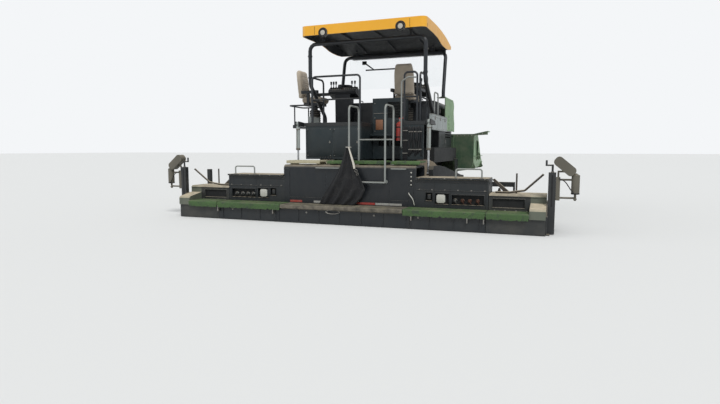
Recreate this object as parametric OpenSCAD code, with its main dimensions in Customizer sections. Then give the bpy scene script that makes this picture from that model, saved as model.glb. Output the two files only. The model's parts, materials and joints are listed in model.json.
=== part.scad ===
// Asphalt paver on crawlers with a wide screed.
// X runs to the machine's right, Y to the front and Z up. Sizes are in millimetres.
// Every module is drawn with Y measured from the rear edge of the screed's walkway,
// and site() then moves it so that the origin is under the middle of the machine.

/* [Crawlers] */
// Distance from the middle of the machine to the middle of a crawler
crawler_x = 1110; // [1050:1:1130]
// Width of the crawler shoes
shoe_w = 310; // [260:1:320]
// Rear end of the crawlers
crawler_y0 = 2000; // [1950:1:2100]
// Length of a crawler over its shoes
crawler_l = 2950; // [2700:1:3000]
// Radius of the rear end of the crawler over its shoes
drive_r = 390; // [370:1:400]
// Radius of the front end of the crawler over its shoes
idler_r = 340; // [320:1:380]
// Thickness of a shoe pad
shoe_t = 42; // [36:1:48]
// Thickness of the link chain under the pads
link_t = 34; // [28:1:40]
// Number of shoes on one crawler
shoe_count = 46; // [40:1:48]
// Radius of a bottom roller
roller_r = 85; // [80:1:90]
// Number of bottom rollers on one crawler
roller_count = 6; // [4:1:7]

/* [Chassis] */
// Half the width of the chassis between the crawlers
chassis_x = 900; // [860:1:920]
// Rear end of the chassis
chassis_y0 = 1950; // [1930:1:2000]
// Front end of the chassis
chassis_y1 = 4450; // [4420:1:4452]
// Height of the chassis underside over the ground
chassis_z0 = 260; // [240:1:300]
// Height of the chassis top
chassis_z1 = 1060; // [1040:1:1090]
// Half the width of the conveyor tunnel
tunnel_x = 620; // [580:1:640]
// Height of the conveyor floor
conveyor_z = 520; // [500:1:540]
// Spacing of the conveyor's scraper bars
scraper_pitch = 240; // [200:10:320]

/* [Hopper] */
// Rear face of the hopper
hopper_y0 = 4460; // [4450:1:4500]
// Front end of the hopper wings
hopper_y1 = 6180; // [6100:1:6240]
// Distance of a wing's hinge from the middle
wing_hinge_x = 690; // [670:1:710]
// Height of a wing's hinge
wing_hinge_z = 600; // [580:1:620]
// Distance of the wing's outer skin from the middle
wing_top_x = 1660; // [1620:1:1700]
// Height of the wing's upper edge at the rear
wing_top_z = 1690; // [1640:1:1730]
// Height of the wing's upper edge at the front
wing_front_z = 1000; // [940:1:1100]
// Half the width of the hopper's fixed rear wall
bulkhead_x = 1180; // [1140:1:1240]
// Thickness of the wing's plates
wing_t = 12; // [10:1:16]
// Width of the lip along the wing's upper edge
wing_flange = 320; // [280:1:340]
// Length of the folding apron in front of the conveyor
apron_l = 190; // [160:1:200]

/* [Push rollers] */
// Radius of a push roller
push_r = 95; // [85:1:105]
// Length of a push roller
push_l = 560; // [480:1:600]
// Distance of a push roller's middle from the middle of the machine
push_x = 470; // [440:1:500]
// Reach of the push rollers in front of the hopper wings
push_reach = 460; // [440:1:500]
// Height of the push rollers' axis
push_z = 520; // [500:1:560]

/* [Engine and hood] */
// Half the width of the engine hood
hood_x = 1125; // [1090:1:1135]
// Rear end of the engine hood
hood_y0 = 2960; // [2950:1:3000]
// Front end of the engine hood
hood_y1 = 4400; // [4380:1:4420]
// Height of the engine hood's lower edge
hood_z0 = 1360; // [1340:1:1380]
// Height of the engine hood's top
hood_z1 = 2370; // [2320:1:2400]
// Thickness of the hood's sheet
hood_t = 6; // [4:1:8]
// Radius of the hood's long edges
hood_r = 140; // [100:1:160]
// Number of louvres on each side of the hood
louvre_count = 9; // [7:1:10]

/* [Platform] */
// Half the width of the operator's platform
platform_x = 1240; // [1200:1:1250]
// Rear edge of the platform
platform_y0 = 1210; // [1205:1:1240]
// Height of the platform floor
platform_z = 1850; // [1820:1:1880]
// Depth of the platform's frame
platform_t = 70; // [60:1:90]
// Radius of the guard rails' tube
rail_r = 19; // [16:1:22]
// Height of the guard rails over the floor
rail_h = 900; // [860:1:950]

/* [Canopy] */
// Half the width of the canopy roof
roof_x = 1250; // [1230:1:1270]
// Rear edge of the canopy roof
roof_y0 = 1120; // [1060:1:1160]
// Front edge of the canopy roof
roof_y1 = 3620; // [3560:1:3680]
// Height of the canopy roof at its crown
roof_z = 3740; // [3720:1:3780]
// Depth of the roof's rear rim
rim_h = 185; // [175:1:200]
// Distance of the work lamps from the middle
lamp_x = 775; // [600:1:900]
// Radius of the work lamps
lamp_r = 78; // [60:1:82]
// Thickness of the roof's shell
roof_t = 12; // [8:1:16]
// Radius of the canopy bows' tube
bow_r = 38; // [34:1:42]
// Position of the rear bow's arch along the machine
rear_bow_y = 1400; // [1380:1:1430]
// Position of the front bow's arch along the machine
front_bow_y = 3290; // [3260:1:3310]
// Distance of the bows' posts from the middle
bow_x = 1185; // [1180:1:1190]

/* [Screed] */
// Half the width of the basic screed
basic_x = 1275; // [1260:1:1280]
// Distance of the fixed side boxes' outer ends from the middle
box_x = 2500; // [2450:1:2550]
// Distance of the sliding end units' outer ends from the middle
end_x = 3400; // [3350:1:3430]
// Front of the screed's sole
sole_y1 = 1050; // [1020:1:1070]
// Height of the lower screed box under the walkway
sole_h = 250; // [240:1:258]
// Depth of the walkway tread
tread_l = 400; // [370:1:405]
// Height of the walkway tread's top
tread_z = 330; // [320:1:340]
// Rear face of the upper screed boxes
face_y = 410; // [406:1:430]
// Top of the basic screed's hood
screed_top_z = 1040; // [1020:1:1060]
// Top of the fixed side boxes
box_top_z = 840; // [820:1:860]
// Top of the sliding end units
end_top_z = 600; // [580:1:620]
// Radius of the guide tubes of the end units
guide_r = 45; // [40:1:50]
// Length of the guide tubes inside the side boxes
guide_l = 900; // [800:1:950]
// Reach of the height sensors beyond the end gates' posts
sensor_arm = 340; // [320:1:380]
// Height of the end gates' posts
gate_post_z = 970; // [940:1:1000]
// Width of the end gates' rear posts
post_w = 110; // [90:1:115]

/* [Screed lift] */
// Distance of the tow arms' inner faces from the middle
arm_x = 1375; // [1372:1:1385]
// Thickness of a tow arm
arm_t = 80; // [70:1:90]
// Position of the tow pin along the machine
tow_y = 4200; // [4150:1:4230]
// Height of the tow pin
tow_z = 620; // [600:1:640]
// Radius of the tow pin
tow_r = 40; // [35:1:45]
// Radius of the lift cylinders' barrels
barrel_r = 38; // [34:1:39]
// Radius of the lift cylinders' rods
rod_r = 20; // [17:1:21]

/* [Augers] */
// Radius of the auger flights
auger_r = 205; // [190:1:215]
// Height of the augers' axis
auger_z = 420; // [400:1:440]
// Position of the augers along the machine
auger_y = 1480; // [1460:1:1500]
// Outer end of the augers
auger_x1 = 2900; // [2400:1:3000]
// Pitch of the auger flights
auger_pitch = 300; // [260:1:340]

/* [Hidden] */
$fn = 32;
// Clearance between pieces that only lie against each other
seat_gap = 0.3;
// Radial clearance of a pin or shaft in its bore
pin_fit = 0.08;
// Running clearance between moving pieces
run_gap = 8;
push_front_y = hopper_y1 + push_reach;
y_mid = push_front_y / 2;
crawler_y1 = crawler_y0 + crawler_l;
crawler_out_x = crawler_x + shoe_w / 2;
crawler_in_x = crawler_x - shoe_w / 2;

module site() translate([0, -y_mid, 0]) children();

// Signs of the left and the right side
LEFT = -1;
RIGHT = 1;

// A plain box from its lowest to its highest corner
module span(a, b) translate(a) cube(b - a);

// A box on one side of the machine, with x measured outwards from the middle
module side_span(side, a, b) {
    if (side == RIGHT) span(a, b);
    else span([-b.x, a.y, a.z], [-a.x, b.y, b.z]);
}

// A flat rectangle between two corners
module square_to(a, b) translate(a) square(b - a);

// Mirrors a right-hand shape to the given side
module to_side(side) {
    if (side == RIGHT) children();
    else mirror([1, 0, 0]) children();
}

// Extrudes a profile drawn as [y, z] along X from x0 to x1
module along_x(x0, x1)
    translate([x0, 0, 0]) rotate([90, 0, 90]) linear_extrude(x1 - x0) children();

// Extrudes a profile drawn as [x, z] along Y from y0 to y1
module along_y(y0, y1)
    translate([0, y1, 0]) rotate([90, 0, 0]) linear_extrude(y1 - y0) children();

// A round bar along X between x0 and x1
module bar_x(x0, x1, y, z, r)
    translate([x0, y, z]) rotate([0, 90, 0]) cylinder(r = r, h = x1 - x0);

// A round bar along Y between y0 and y1
module bar_y(y0, y1, x, z, r)
    translate([x, y1, z]) rotate([90, 0, 0]) cylinder(r = r, h = y1 - y0);

function unit(v) = v / norm(v);
function turn(a, b) = atan2(a.x * b.y - a.y * b.x, a.x * b.x + a.y * b.y);
function left_of(d) = [-d.y, d.x];
function heading(p, i) = unit(p[i + 1] - p[i]);
function bend_cut(p, i, rb) =
    (i == 0 || i == len(p) - 1) ? 0 : rb * tan(abs(turn(heading(p, i - 1), heading(p, i))) / 2);

// A tube of radius r along flat points p, with each corner bent to radius rb
module bent_tube(p, r, rb) {
    for (i = [0 : len(p) - 2]) {
        d = heading(p, i);
        a = p[i] + d * bend_cut(p, i, rb);
        b = p[i + 1] - d * bend_cut(p, i + 1, rb);
        translate([a.x, a.y, 0]) rotate([0, 90, atan2(d.y, d.x)]) cylinder(r = r, h = norm(b - a));
    }
    for (i = [1 : 1 : len(p) - 2]) {
        d = heading(p, i - 1);
        angle = turn(d, heading(p, i));
        n = left_of(d) * sign(angle);
        c = p[i] - d * bend_cut(p, i, rb) + n * rb;
        start = atan2(-n.y, -n.x) + min(0, angle);
        translate([c.x, c.y, 0]) rotate([0, 0, start])
            rotate_extrude(angle = abs(angle)) translate([rb, 0]) circle(r = r);
    }
}

// Points of a route through 3-D corners p, each rounded to radius rb in n steps
function corner(a, b, c, rb, n) =
    let (d = unit(b - a), e = unit(c - b), turned = acos(d * e), m = unit(e - d * (d * e)),
        s = b - d * rb * tan(turned / 2))
    [for (i = [0 : n]) let (t = turned * i / n) s + d * rb * sin(t) + m * rb * (1 - cos(t))];
function route(p, rb, n) = concat([p[0]],
    [for (i = [1 : 1 : len(p) - 2]) each corner(p[i - 1], p[i], p[i + 1], rb, n)], [p[len(p) - 1]]);
function tangent(q, i) = unit(q[min(i + 1, len(q) - 1)] - q[max(i - 1, 0)]);
function carry(q, i, u) = i == len(q) ? [] :
    let (t = tangent(q, i), v = unit(u - t * (u * t))) concat([v], carry(q, i + 1, v));

// A round pipe of radius r swept along the route q, as one faceted solid
module pipe(q, r, sides) {
    t0 = tangent(q, 0);
    ups = carry(q, 0, abs(t0.z) < 0.9 ? [0, 0, 1] : [1, 0, 0]);
    n = len(q);
    points = [for (i = [0 : n - 1]) let (t = tangent(q, i), u = ups[i], v = cross(t, u))
        for (k = [0 : sides - 1]) let (a = 360 * k / sides) q[i] + r * (cos(a) * u + sin(a) * v)];
    walls = [for (i = [0 : n - 2]) for (k = [0 : sides - 1])
        let (a = i * sides + k, b = i * sides + (k + 1) % sides)
        each [[a, a + sides, b + sides], [a, b + sides, b]]];
    polyhedron(points, concat(walls, [[for (k = [0 : sides - 1]) k],
        [for (k = [sides - 1 : -1 : 0]) (n - 1) * sides + k]]));
}

// Stands a shape drawn as [y, z] upright at one x
module upright_yz(x) translate([x, 0, 0]) rotate([90, 0, 90]) children();

// Stands a shape drawn as [x, z] upright at one y
module upright_xz(y) translate([0, y, 0]) rotate([90, 0, 0]) children();

// Points of a sheet of thickness t whose outer side follows p, on the left of its run
function sheet_dir(p, i) =
    i == 0 ? left_of(heading(p, 0)) :
    i == len(p) - 1 ? left_of(heading(p, i - 1)) :
    let (m = left_of(unit(heading(p, i - 1) + heading(p, i))))
    m / (m * left_of(heading(p, i)));
function sheet(p, t) = concat(p, [for (i = [len(p) - 1 : -1 : 0]) p[i] + sheet_dir(p, i) * t]);

// A rectangle with round corners, from its lowest to its highest corner
module round_rect(a, b, r) {
    translate([a.x + r, a.y]) square([b.x - a.x - 2 * r, b.y - a.y]);
    translate([a.x, a.y + r]) square([b.x - a.x, b.y - a.y - 2 * r]);
    for (x = [a.x + r, b.x - r])
        for (y = [a.y + r, b.y - r])
            translate([x, y]) circle(r = r);
}

// Crawlers: the loop runs round a large rear circle and a smaller front one,
// level along the ground and sloping slightly along the top.
drive_y = crawler_y0 + drive_r;
idler_y = crawler_y1 - idler_r;
loop_slope = 2 * atan((idler_r - drive_r) / (idler_y - drive_y));
pitch_drive_r = drive_r - shoe_t;
pitch_idler_r = idler_r - shoe_t;
run_l = idler_y - drive_y;
idler_arc = 180 + loop_slope;
drive_arc = 180 - loop_slope;
idler_arc_l = pitch_idler_r * idler_arc * PI / 180;
drive_arc_l = pitch_drive_r * drive_arc * PI / 180;
loop_l = 2 * run_l + idler_arc_l + drive_arc_l;

// Place and heading of a shoe at the distance s along the loop: [y, z, angle]
function loop_place(s) =
    s < run_l ? [drive_y + s, shoe_t, 0] :
    s < run_l + idler_arc_l ?
        let (a = (s - run_l) / pitch_idler_r * 180 / PI)
        [idler_y + pitch_idler_r * sin(a), idler_r - pitch_idler_r * cos(a), a] :
    s < 2 * run_l + idler_arc_l ?
        let (u = s - run_l - idler_arc_l, a = idler_arc)
        [idler_y + pitch_idler_r * sin(a) + u * cos(a),
            idler_r - pitch_idler_r * cos(a) + u * sin(a), a] :
    let (a = idler_arc + (s - 2 * run_l - idler_arc_l) / pitch_drive_r * 180 / PI)
    [drive_y + pitch_drive_r * sin(a), drive_r - pitch_drive_r * cos(a), a];

// Outline of the loop at a depth under the tips of the shoes
module loop_outline(depth) {
    a = 90 + loop_slope;
    translate([drive_y, drive_r]) circle(r = drive_r - depth, $fn = 96);
    translate([idler_y, idler_r]) circle(r = idler_r - depth, $fn = 96);
    polygon([[drive_y, depth], [idler_y, depth],
        [idler_y + (idler_r - depth) * cos(a), idler_r + (idler_r - depth) * sin(a)],
        [drive_y + (drive_r - depth) * cos(a), drive_r + (drive_r - depth) * sin(a)]]);
}

module crawlers() color("#3c3a37")
    for (side = [LEFT, RIGHT]) crawler(side * crawler_x);

module crawler(x) {
    pitch = loop_l / shoe_count;
    along_x(x - shoe_w / 2, x + shoe_w / 2) {
        difference() {
            loop_outline(shoe_t - 1);
            loop_outline(shoe_t + link_t);
        }
        for (i = [0 : shoe_count - 1]) {
            p = loop_place((i + 0.5) * pitch);
            translate([p[0], p[1]]) rotate(p[2])
                translate([-pitch * 0.42, -shoe_t]) square([pitch * 0.84, shoe_t + 4]);
        }
    }
}

// Frame beams with their rollers, sprockets and idler wheels inside the loops
module crawler_frames() color("#4a4a44")
    for (side = [LEFT, RIGHT]) crawler_frame(side);

module crawler_frame(side) {
    depth = shoe_t + link_t + seat_gap;
    sprocket_r = drive_r - depth;
    wheel_r = idler_r - depth;
    beam_z0 = depth + roller_r;
    beam_z1 = drive_r * 2 - depth - 90;
    half = shoe_w / 2 - 45;
    to_side(side) {
        along_x(crawler_x - half, crawler_x + half)
            polygon([[drive_y + 120, beam_z0], [idler_y - 60, beam_z0], [idler_y - 10, beam_z0 + 120],
                [idler_y - 10, idler_r + 60], [idler_y - 380, beam_z1 - 40],
                [drive_y + 330, beam_z1], [drive_y + 120, drive_r + 60]]);
        for (i = [0 : roller_count - 1]) {
            y = drive_y + 330 + i * (run_l - 620) / (roller_count - 1);
            bar_x(crawler_x - half - 20, crawler_x + half + 20, y, depth + roller_r, roller_r);
        }
        // Sprocket with a toothed rim and a drive hub
        along_x(crawler_x - 40, crawler_x + 40)
            difference() {
                translate([drive_y, drive_r]) circle(r = sprocket_r, $fn = 64);
                for (i = [0 : 15])
                    translate([drive_y, drive_r]) rotate(i * 22.5) translate([sprocket_r, 0])
                        circle(r = 32, $fn = 24);
            }
        bar_x(chassis_x + seat_gap, crawler_out_x - 20, drive_y, drive_r, 150);
        bar_x(crawler_x - 55, crawler_x + 55, idler_y, idler_r, wheel_r);
        bar_x(crawler_x - half - 10, crawler_x + half + 20, idler_y, idler_r, 70);
        // Beams that carry the chassis
        for (y = [drive_y + 500, idler_y - 600])
            span([chassis_x + seat_gap, y, beam_z0 + 60], [crawler_x - half, y + 220, beam_z1 - 60]);
    }
}

// Chassis: two long side beams with the tunnel's floor and roof between them
rail_x1 = tunnel_x + 20;
tray_z0 = conveyor_z - 120;
tray_z1 = conveyor_z - 90;
roof_plate = 60;
tie_r = 25;
tie_t = 30;
tie_round = 55;
rear_tie = [chassis_y0 - 60, 330];
front_tie = [6020, 340];

module chassis() color("#2c3133") {
    for (side = [LEFT, RIGHT]) to_side(side) {
        span([tunnel_x, chassis_y0, chassis_z0], [chassis_x, chassis_y1, chassis_z1]);
        tie_eye(rear_tie, rear_tie - [0, tie_round], [chassis_y0 + 1, rear_tie.y + tie_round],
            chassis_x - 60);
    }
    x = tunnel_x - seat_gap;
    span([-x, chassis_y0, chassis_z0], [x, chassis_y1, tray_z1]);
    span([-x, chassis_y0, chassis_z1 - roof_plate], [x, chassis_y1, chassis_z1]);
}

// A lashing eye, bored along X, with a web between the [y, z] corners a and b
module tie_eye(p, a, b, x)
    difference() {
        along_x(x, x + tie_t) {
            translate(p) circle(r = tie_round);
            square_to(a, b);
        }
        bar_x(x - 5, x + tie_t + 5, p[0], p[1], tie_r);
    }

// Hopper frame: two rails with the wings' hinge lugs, and the tray between them
rail_y1 = hopper_y1 + 10;
rail_z1 = wing_hinge_z - 30;
apron_y = hopper_y1 - 12;
apron_z = conveyor_z - 2;
apron_pin_r = 16;
hinge_x = wing_hinge_x - 24;
hinge_pin_r = 14;
hinge_r = 25;
lug_t = 24;
lug_places = [hopper_y0 + 120, hopper_y0 + 620, hopper_y0 + 1120, hopper_y1 - 120];
tongue_x = 90;
tongue_y = hopper_y1 + 60;
tongue_z = 365;
tongue_t = 50;
tongue_pin_r = 26;

module hopper_frame() color("#2c3133") {
    y0 = chassis_y1 + seat_gap;
    for (side = [LEFT, RIGHT]) to_side(side) {
        difference() {
            span([tunnel_x, y0, tray_z0], [rail_x1, rail_y1, rail_z1]);
            bar_x(tunnel_x - 5, rail_x1 + 5, apron_y, apron_z, apron_pin_r + pin_fit);
        }
        for (y = lug_places)
            difference() {
                along_y(y - lug_t / 2, y + lug_t / 2) {
                    polygon([[tunnel_x + 5, rail_z1 - 15], [hinge_x + hinge_r, wing_hinge_z],
                        [hinge_x, wing_hinge_z + hinge_r], [tunnel_x + 5, rail_z1 + 10]]);
                    translate([hinge_x, wing_hinge_z]) circle(r = hinge_r);
                }
                bar_y(y - lug_t, y + lug_t, hinge_x, wing_hinge_z, hinge_pin_r + pin_fit);
            }
        tie_eye(front_tie, front_tie - [tie_round, 0], [front_tie.x + tie_round, tray_z0 + 1], tunnel_x);
    }
    // Tray with the tongue for the push beam's pivot
    x = tunnel_x - seat_gap;
    span([-x, y0, tray_z0], [x, hopper_y1 - 60, tray_z1]);
    difference() {
        span([-tongue_x, hopper_y1 - 300, tongue_z - tongue_t / 2],
            [tongue_x, tongue_y + 60, tongue_z + tongue_t / 2]);
        translate([0, tongue_y, tongue_z - tongue_t]) cylinder(r = tongue_pin_r + pin_fit, h = 2 * tongue_t);
    }
    span([-tongue_x, hopper_y1 - 300, tongue_z], [tongue_x, hopper_y1 - 80, tray_z0 + 1]);
}

// Plates over the crawlers that reach down outside them and carry the tow pins
module tow_brackets() color("#2c3133")
    for (side = [LEFT, RIGHT]) to_side(side) {
        plate_x = crawler_out_x + 15;
        plate_t = 20;
        half = 160;
        top = chassis_z1 + seat_gap;
        span([chassis_x - 100, tow_y - half, top], [plate_x + plate_t, tow_y + half, top + 2 * plate_t]);
        along_x(plate_x, plate_x + plate_t)
            polygon([[tow_y - half, top], [tow_y + half, top], [tow_y + half, tow_z],
                [tow_y + 70, tow_z - 120], [tow_y - 70, tow_z - 120], [tow_y - half, tow_z]]);
        bar_x(plate_x + plate_t - 1, arm_x - 2, tow_y, tow_z, tow_r + 25);
        bar_x(plate_x, arm_x + arm_t + 30, tow_y, tow_z, tow_r);
    }

// Conveyor floor with its scraper bars, open inside the hopper
module conveyor() color("#4b4740") {
    y1 = hopper_y1 - 40;
    z = conveyor_z;
    bar_x1 = tunnel_x - 60;
    difference() {
        span([-tunnel_x + seat_gap, chassis_y0 - 60, z - 90 + seat_gap],
            [tunnel_x - seat_gap, y1, z]);
        for (side = [LEFT, RIGHT])
            side_span(side, [30, chassis_y0 + 200, z - 60], [bar_x1, y1 - 150, z - 30]);
    }
    for (i = [0 : floor((y1 - chassis_y0 - 80) / scraper_pitch)])
        for (side = [LEFT, RIGHT])
            side_span(side, [30, chassis_y0 + i * scraper_pitch, z - 1],
                [bar_x1, chassis_y0 + i * scraper_pitch + 40, z + 25]);
}

// Fixed rear wall of the hopper over the tunnel's mouth
module bulkhead() color("#2f5a3a") {
    y = hopper_y0 - run_gap;
    plate_t = 30;
    span([-bulkhead_x, y - plate_t, chassis_z1 + seat_gap], [bulkhead_x, y, wing_top_z]);
    span([-bulkhead_x, y - plate_t - 20, wing_top_z - 40], [bulkhead_x, y - plate_t + 1, wing_top_z]);
}

module engine_block() color("#55585a")
    span([-420, hood_y0 + 120, chassis_z1 + seat_gap], [420, hood_y1 - 160, hood_z1 - 300]);

// Engine hood: a hollow shell with round long edges, louvred sides and a rear ledge
louvre_pitch = 55;
module engine_hood() color("#33383c")
    difference() {
        along_y(hood_y0, hood_y1) hood_profile(0);
        along_y(hood_y0 + hood_t, hood_y1 - hood_t) hood_profile(hood_t);
        for (side = [LEFT, RIGHT])
            for (i = [0 : louvre_count - 1])
                side_span(side, [hood_x - 30, hood_y0 + 700, hood_z0 + 230 + i * louvre_pitch],
                    [hood_x + 10, hood_y1 - 160, hood_z0 + 255 + i * louvre_pitch]);
    }

module hood_profile(inset) {
    a = [-hood_x + inset, hood_z0 - (inset > 0 ? 1 : 0)];
    b = [hood_x - inset, hood_z1 - inset];
    r = hood_r - inset;
    translate([a.x, a.y]) square([b.x - a.x, b.y - r - a.y]);
    translate([a.x + r, b.y - r]) square([b.x - a.x - 2 * r, r]);
    for (x = [a.x + r, b.x - r])
        translate([x, b.y - r]) circle(r = r, $fn = 48);
}

module exhaust() color("#6b6560") {
    pipe_r = 62;
    pipe_h = 260;
    translate([520, hood_y0 + 330, hood_z1 + seat_gap]) {
        difference() {
            cylinder(r = 95, h = 12);
            translate([0, 0, 4]) cylinder(r = pipe_r - 6, h = 12);
        }
        difference() {
            cylinder(r = pipe_r, h = pipe_h);
            translate([0, 0, 4]) cylinder(r = pipe_r - 6, h = pipe_h);
        }
    }
}

// Lockers and tanks beside the chassis, over the crawlers
module side_lockers() color("#2d3337")
    for (side = [LEFT, RIGHT]) to_side(side) {
        z0 = chassis_z1 + seat_gap;
        difference() {
            span([chassis_x - 60, chassis_y0 + 20, z0],
                [crawler_out_x - 15, hood_y1 - 20, hood_z0 - seat_gap]);
            span([chassis_x - 105, tow_y - 165, z0 - 1], [crawler_out_x, tow_y + 165, z0 + 45]);
        }
    }

// Guard plates behind the crawlers, each with a round outer corner
guard_r = 280;
guard_x1 = arm_x - 12;
module crawler_guards() color("#8d8272")
    for (side = [LEFT, RIGHT]) to_side(side) {
        x0 = chassis_x + seat_gap;
        top = chassis_z1 + 60;
        y = chassis_y0 - 24;
        along_y(y, y + 10) {
            square_to([x0, 700], [guard_x1 - guard_r, top]);
            square_to([x0, 700], [guard_x1, top - guard_r]);
            translate([guard_x1 - guard_r, top - guard_r]) circle(r = guard_r, $fn = 64);
        }
        along_y(y + 9, chassis_y0 + 200) square_to([x0, 820], [x0 + 8, chassis_z1 - 20]);
    }

// Chain case in the middle, with the beam and the hangers of the augers
auger_shaft_r = 45;
auger_end_r = 30;
beam_z0 = auger_z + auger_r + 25;
beam_z1 = beam_z0 + 85;
module auger_carrier() color("#3a3d3d") {
    case_x = 70;
    hanger_t = 30;
    difference() {
        along_x(-case_x, case_x)
            polygon([[auger_y - 120, auger_z - 150], [auger_y + 120, auger_z - 150],
                [auger_y + 160, beam_z1 + 40], [auger_y - 100, beam_z1 + 40],
                [auger_y - 150, auger_z + 100]]);
        for (side = [LEFT, RIGHT]) to_side(side)
            bar_x(20, case_x + 5, auger_y, auger_z, auger_shaft_r + pin_fit);
    }
    for (side = [LEFT, RIGHT]) to_side(side) {
        span([640, auger_y - 40, beam_z0], [700, chassis_y0 - seat_gap, beam_z1]);
        span([-5, auger_y - 40, beam_z0], [auger_x1 - 60, auger_y + 20, beam_z1]);
        difference() {
            span([auger_x1 - 60 - hanger_t, auger_y - 50, auger_z - 60],
                [auger_x1 - 60, auger_y + 50, beam_z1]);
            bar_x(auger_x1 - 100, auger_x1 - 50, auger_y, auger_z, auger_end_r + pin_fit);
        }
    }
}

// Facets of a helical blade of thickness t between radius r0 and r1, along X
module blade(x0, turns, pitch, r0, r1, t, steps) {
    n = ceil(turns * steps);
    points = [for (i = [0 : n]) let (a = 360 * turns * i / n, x = x0 + pitch * turns * i / n)
        for (c = [[-t / 2, r0], [-t / 2, r1], [t / 2, r1], [t / 2, r0]])
            [x + c[0], c[1] * cos(a), c[1] * sin(a)]];
    sides = [for (i = [0 : n - 1]) for (k = [0 : 3]) let (a = 4 * i + k, b = 4 * i + (k + 1) % 4)
        for (f = [[a, b, b + 4], [a, b + 4, a + 4]]) f];
    polyhedron(points, concat(sides, [[3, 2, 1], [3, 1, 0], [4 * n, 4 * n + 1, 4 * n + 2],
        [4 * n, 4 * n + 2, 4 * n + 3]]));
}

module auger(side) color("#6e675e") {
    x1 = auger_x1 - 90 - run_gap;
    blade_x0 = 100;
    turns = (x1 - blade_x0 - 90) / auger_pitch;
    to_side(side) {
        bar_x(25, x1, auger_y, auger_z, auger_shaft_r);
        bar_x(x1 - 1, auger_x1 - 50, auger_y, auger_z, auger_end_r);
        translate([0, auger_y, auger_z])
            blade(blade_x0, turns, auger_pitch, auger_shaft_r - 9, auger_r, 16, 12);
    }
}

// Platform: its floor has a stair well at the rear, between the hand rails, and a
// notch for the cabinet behind the well. Columns stand on the lockers.
well_x0 = -20;
well_x1 = 765;
cabinet_x1 = 645;
cabinet_y0 = 1880;
cabinet_y1 = 2200;
floor_z0 = platform_z - platform_t;
module platform() color("#3b4042") {
    rim = 60;
    skin = 8;
    y1 = hood_y0 - seat_gap;
    difference() {
        translate([0, 0, floor_z0]) linear_extrude(platform_t)
            polygon([[-platform_x, platform_y0], [well_x0, platform_y0], [well_x0, cabinet_y1 + seat_gap],
                [cabinet_x1 + seat_gap, cabinet_y1 + seat_gap], [cabinet_x1 + seat_gap, cabinet_y0],
                [well_x1, cabinet_y0], [well_x1, platform_y0], [platform_x, platform_y0],
                [platform_x, y1], [-platform_x, y1]]);
        // Pockets under the floor: x0, x1, y0, y1
        for (p = [[-platform_x + rim, -rim, platform_y0 + rim, cabinet_y0],
            [-platform_x + rim, -rim, cabinet_y0 + rim, y1 - rim],
            [rim, platform_x - rim, cabinet_y1 + rim, y1 - rim],
            [well_x1 + rim, platform_x - rim, platform_y0 + rim, cabinet_y0]])
            span([p[0], p[2], floor_z0 - 1], [p[1], p[3], platform_z - skin]);
    }
    for (side = [LEFT, RIGHT]) to_side(side)
        for (y = [chassis_y0 + 30, hood_y0 - 160])
            span([chassis_x - 40, y, hood_z0], [chassis_x + 60, y + 100, platform_z - 1]);
}

// Dark walls under the platform: at the rear, beside the stair well and behind it
wall_z0 = chassis_z1 + 70;
wall_t = 20;
module rear_walls() color("#2b3c41") {
    y = platform_y0 + 5;
    z1 = floor_z0 - seat_gap;
    x1 = platform_x - 30;
    for (w = [[-x1, well_x0 - 5], [well_x1 + 5, x1]])
        span([w[0], y, wall_z0], [w[1], y + wall_t, z1]);
    for (x = [well_x0 - 5 - wall_t, well_x1 + 5])
        span([x, y + wall_t - 1, wall_z0], [x + wall_t, chassis_y0 - 5, z1]);
    for (w = [[-chassis_x + 61, well_x0 - 5], [cabinet_x1 + 5, chassis_x - 61]])
        span([w[0], chassis_y0 + 30, chassis_z1 + seat_gap], [w[1], chassis_y0 + 60, z1]);
}

// Cabinet behind the stair well, with a door panel, a step hole and a step in front
module centre_cabinet() color("#31474b") {
    x0 = well_x0 + seat_gap;
    top = platform_z + 500;
    difference() {
        span([x0, cabinet_y0, wall_z0], [cabinet_x1, cabinet_y1, top]);
        span([x0 - 1, chassis_y0 - seat_gap, wall_z0 - 1],
            [cabinet_x1 + 1, cabinet_y1 + 1, chassis_z1 + 80]);
        for (h = [[110, 330, 1390, 1550], [380, 600, 1390, 1550]])
            span([h[0], cabinet_y0 - 1, h[2]], [h[1], cabinet_y0 + 90, h[3]]);
        span([40, cabinet_y0 - 1, platform_z - 140], [210, cabinet_y0 + 6, platform_z + 80]);
        span([300, cabinet_y0 - 1, platform_z + 100], [600, cabinet_y0 + 25, platform_z + 420]);
    }
    span([x0, cabinet_y0 - 160, 1590], [cabinet_x1, cabinet_y0 + 1, 1625]);
}

// Brackets that carry the lift cylinders beside the platform
lift_x = arm_x - 45;
lift_top = [platform_y0 - 90, platform_z - 20];
module lift_brackets() color("#3b4042")
    for (side = [LEFT, RIGHT]) to_side(side) {
        fork = 45;
        difference() {
            along_x(lift_x - fork, lift_x + fork)
                polygon([[lift_top[0] - 50, lift_top[1] - 45], [lift_top[0] - 50, lift_top[1] + 45],
                    [platform_y0 + 200, platform_z], [platform_y0 + 300, floor_z0],
                    [lift_top[0] + 60, floor_z0]]);
            span([lift_x - fork + 20, lift_top[0] - 60, floor_z0 - 60],
                [lift_x + fork - 20, lift_top[0] + 55, platform_z + 60]);
        }
        bar_x(lift_x - fork, lift_x + fork, lift_top[0], lift_top[1], lift_eye_pin_r);
        span([platform_x + seat_gap, platform_y0 + 60, floor_z0],
            [lift_x - fork + 1, platform_y0 + 300, floor_z0 + 20]);
    }

// Outrigger floor of the left seat: its outer edge and its ends
outrigger_x = -1885;
outrigger_y0 = 1950;
outrigger_y1 = 2685;

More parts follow.
